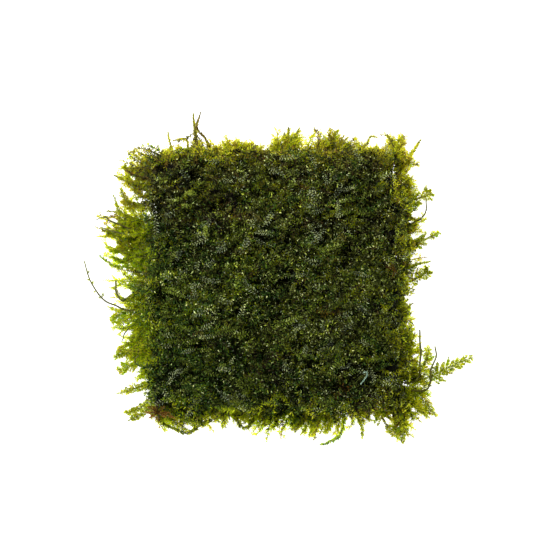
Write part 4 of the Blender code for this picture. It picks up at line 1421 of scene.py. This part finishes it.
def makeFelt():
    left, right, front, back = felt["sides"]
    bpy.ops.object.select_all(action="DESELECT")
    bpy.ops.mesh.primitive_cube_add(
        size=1.0, location=((left + right) / 2 * mm, (front + back) / 2 * mm, felt["height"] / 2 * mm)
    )
    piece = bpy.context.object
    piece.name = "turfFelt"
    bpy.ops.transform.resize(value=((right - left) * mm, (back - front) * mm, felt["height"] * mm))
    bpy.ops.object.transform_apply(location=True, rotation=True, scale=True)
    bpy.ops.object.mode_set(mode="EDIT")
    bpy.ops.mesh.select_all(action="SELECT")
    bpy.ops.mesh.subdivide(number_cuts=felt["cuts"])
    bpy.ops.object.mode_set(mode="OBJECT")
    for vert in piece.data.vertices:
        x, y = vert.co.x / mm, vert.co.y / mm
        top = topHeight(x, y) - felt["below"]
        vert.co.z *= top / felt["height"]
        # its sides run unevenly
        away = max(abs(x), abs(y)) / turf["half"]
        uneven = np.interp(x, felt["sides"][:2], felt["uneven"]) * (1 + patch(x, y, "feltSide"))
        cx, cy, radius, deep = felt["corner"]
        uneven += deep * max(0.0, 1 - math.hypot(x - cx, y - cy) / radius)
        inward = 1 - away ** felt["edgePower"] * uneven / turf["half"]
        vert.co.x *= inward
        vert.co.y *= inward
    cloud = bpy.data.textures.new("feltGrain", "CLOUDS")
    cloud.noise_scale = felt["grain"] * mm
    rough = piece.modifiers.new("rough", "DISPLACE")
    rough.texture = cloud
    rough.strength = felt["rough"] * mm
    bpy.ops.object.modifier_apply(modifier="rough")
    for vert in piece.data.vertices:
        vert.co.z = max(vert.co.z, felt["underside"] * mm)
    piece.data.materials.append(makeFeltMaterial())
    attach(piece, "root")
    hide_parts("moss_turf")
    print("felt made")


makeFelt()


# old brown stems matted over the underside
matted = {
    "count": 680, "from": 36.0, "within": 38.5, "length": (10.0, 26.0), "height": (0.2, 0.8),
    "radius": 0.2, "brown": 0.6, "leafy": 0.3, "seed": 606,
}


def growUnderside():
    chance = np.random.default_rng(matted["seed"])
    bed = Bed()
    for _ in range(matted["count"]):
        x, y = chance.uniform(-matted["from"], matted["from"], 2)
        heading = chance.uniform(0, 2 * math.pi)
        xs, ys = levelPath(x, y, heading, chance.uniform(*matted["length"]), chance.normal(0, 1.4), 9)
        inside = np.maximum(np.abs(xs), np.abs(ys)) < matted["within"]
        stop = len(xs) if inside.all() else int(np.argmin(inside))
        if stop < 4:
            continue
        z = chance.uniform(*matted["height"])
        zs = z + 0.1 * np.sin(np.linspace(0, 7, stop) + chance.uniform(0, 6))
        path = np.column_stack([xs[:stop], ys[:stop], zs])
        tone = chance.uniform(0.15, 0.75)
        kind = "brown" if chance.random() < matted["brown"] else "stem"
        bed.addStem(path, np.full(stop, tone), np.linspace(1, 0.6, stop) * matted["radius"], kind)
        if chance.random() < matted["leafy"]:
            leafyShoot(bed, chance, path[: max(4, stop // 2)], (0.3, 0.5),
                       {"brown": 1.0, "green": 0.4}, reference=np.array([0.0, 0.0, -1.0]))
    growPiece("undersideStems", bed)


growUnderside()


# the thread: two plies of blue-green nylon
thread = {
    "ply": 0.12,  # radius in mm
    "twist": 0.11,  # mm from the thread's middle to a ply's
    "turns": 2.6,
    "samples": 40,
    "loop": [(24.2, -31.9), (25.3, -30.6), (26.2, -29.2), (26.1, -28.2), (25.1, -28.3)],
    "end": [(-16.1, -38.6), (-16.2, -41.4), (-15.6, -43.6)],
}


def makeThreadMaterial():
    made, tree = newMaterial("thread")
    place = tree.node("ShaderNodeTexCoord").out("Object")
    worn = tree.node("ShaderNodeTexNoise", None, {"Vector": place, "Scale": 1500.0, "Detail": 3.0})
    colour = tree.node("ShaderNodeValToRGB", {"stops": [
        (0.3, (0.1, 0.2, 0.13)), (0.7, (0.34, 0.48, 0.36)),
    ]}, {0: worn})
    body = tree.node("ShaderNodeBsdfPrincipled", None, {"Base Color": colour, "Roughness": 0.3})
    tree.node("ShaderNodeOutputMaterial", None, {"Surface": body})
    return made


def makeThread(name, node, path, material):
    bpy.ops.object.select_all(action="DESELECT")
    curve = bpy.data.curves.new(name, "CURVE")
    curve.dimensions = "3D"
    curve.bevel_depth = thread["ply"] * mm
    curve.bevel_resolution = 2
    curve.use_fill_caps = True
    ways = unit(np.gradient(path, axis=0))
    side = unit(np.cross(ways, [0.0, 0.0, 1.0]))
    up = np.cross(side, ways)
    turn = np.linspace(0, thread["turns"] * 2 * math.pi, len(path))
    for phase in (0, math.pi):
        ply = path + thread["twist"] * (side * np.cos(turn + phase)[:, None]
                                        + up * np.sin(turn + phase)[:, None])
        spline = curve.splines.new("POLY")
        spline.points.add(len(ply) - 1)
        for point, place in zip(spline.points, ply):
            point.co = (*(place * mm), 1.0)
    piece = bpy.data.objects.new(name, curve)
    bpy.context.scene.collection.objects.link(piece)
    piece.select_set(True)
    bpy.context.view_layer.objects.active = piece
    bpy.ops.object.convert(target="MESH")
    piece = bpy.context.object
    piece.data.materials.clear()
    piece.data.materials.append(material)
    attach(piece, "root")
    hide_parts(node)


def makeThreads():
    material = makeThreadMaterial()
    low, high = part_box("tie_thread_loop")
    flat = smoothWay(thread["loop"], thread["samples"])
    level = (low.z + high.z) / 2 / mm
    path = np.column_stack([flat, np.full(len(flat), level)])
    makeThread("threadLoop", "tie_thread_loop", path, material)
    path = wayInSpace(2, 0.0, thread["end"], thread["samples"])
    makeThread("threadEnd", "tie_thread_end", path, material)
    print("threads laid")


makeThreads()
for pattern in leafPatterns.values():
    bpy.data.objects.remove(pattern)


# ground and light: a white ground that glows round the moss, as a light pad does. sizes
# in metres
studio = {
    "groundSide": 3.0,
    "groundShades": (0.5, 0.54),
    "padGlow": 1.3,
    "padReach": 0.4,  # from the middle to where the pad's light has faded
    "padFade": [(0.0, 1.0), (0.32, 1.0), (0.6, 0.4), (1.0, 0.2)],
    "lampPlace": (-0.4, 0.42, 0.74),
    "lampSide": 0.24,
    "lampWatts": 13.0,
    "sky": [(0.0, 0.7), (0.12, 0.5), (0.35, 0.12), (0.7, 0.05), (1.0, 0.03)],  # from low to overhead
}


def greys(stops):
    return [(place, (shade, shade, shade)) for place, shade in stops]


def makeGround():
    bpy.ops.object.select_all(action="DESELECT")
    bpy.ops.mesh.primitive_plane_add(size=studio["groundSide"], location=(0, 0, 0))
    ground = bpy.context.object
    ground.name = "ground"
    made, tree = newMaterial("white ground")
    place = tree.node("ShaderNodeTexCoord").out("Object")
    grain = tree.node("ShaderNodeTexNoise", None, {"Vector": place, "Scale": 40.0})
    colour = tree.node("ShaderNodeValToRGB", {"stops": greys(zip((0.3, 0.7), studio["groundShades"]))},
                       {0: grain})
    away = tree.node("ShaderNodeVectorMath", {"operation": "LENGTH"}, {0: place})
    glow = tree.node("ShaderNodeValToRGB", {"stops": greys(studio["padFade"])},
                     {0: away / studio["padReach"]})
    body = tree.node("ShaderNodeBsdfPrincipled", None, {
        "Base Color": colour, "Roughness": 0.7, "Emission Color": glow,
        "Emission Strength": studio["padGlow"],
    })
    tree.node("ShaderNodeOutputMaterial", None, {"Surface": body})
    ground.data.materials.append(made)


def makeLight():
    place = Vector(studio["lampPlace"])
    bpy.ops.object.light_add(
        type="AREA", location=place, rotation=(-place).to_track_quat("-Z", "Y").to_euler()
    )
    lamp = bpy.context.object
    lamp.data.size = studio["lampSide"]
    lamp.data.energy = studio["lampWatts"]
    sky = bpy.data.worlds.new("sky")
    bpy.context.scene.world = sky
    sky.use_nodes = True
    sky.node_tree.nodes.clear()
    tree = Tree(sky.node_tree)
    way = tree.node("ShaderNodeTexCoord").out("Generated")
    rise = tree.node("ShaderNodeSeparateXYZ", None, {0: way}).out("Z")
    colour = tree.node("ShaderNodeValToRGB", {"stops": greys(studio["sky"])}, {0: rise})
    back = tree.node("ShaderNodeBackground", None, {0: colour})
    tree.node("ShaderNodeOutputWorld", None, {0: back})


makeGround()
makeLight()
print("studio set")
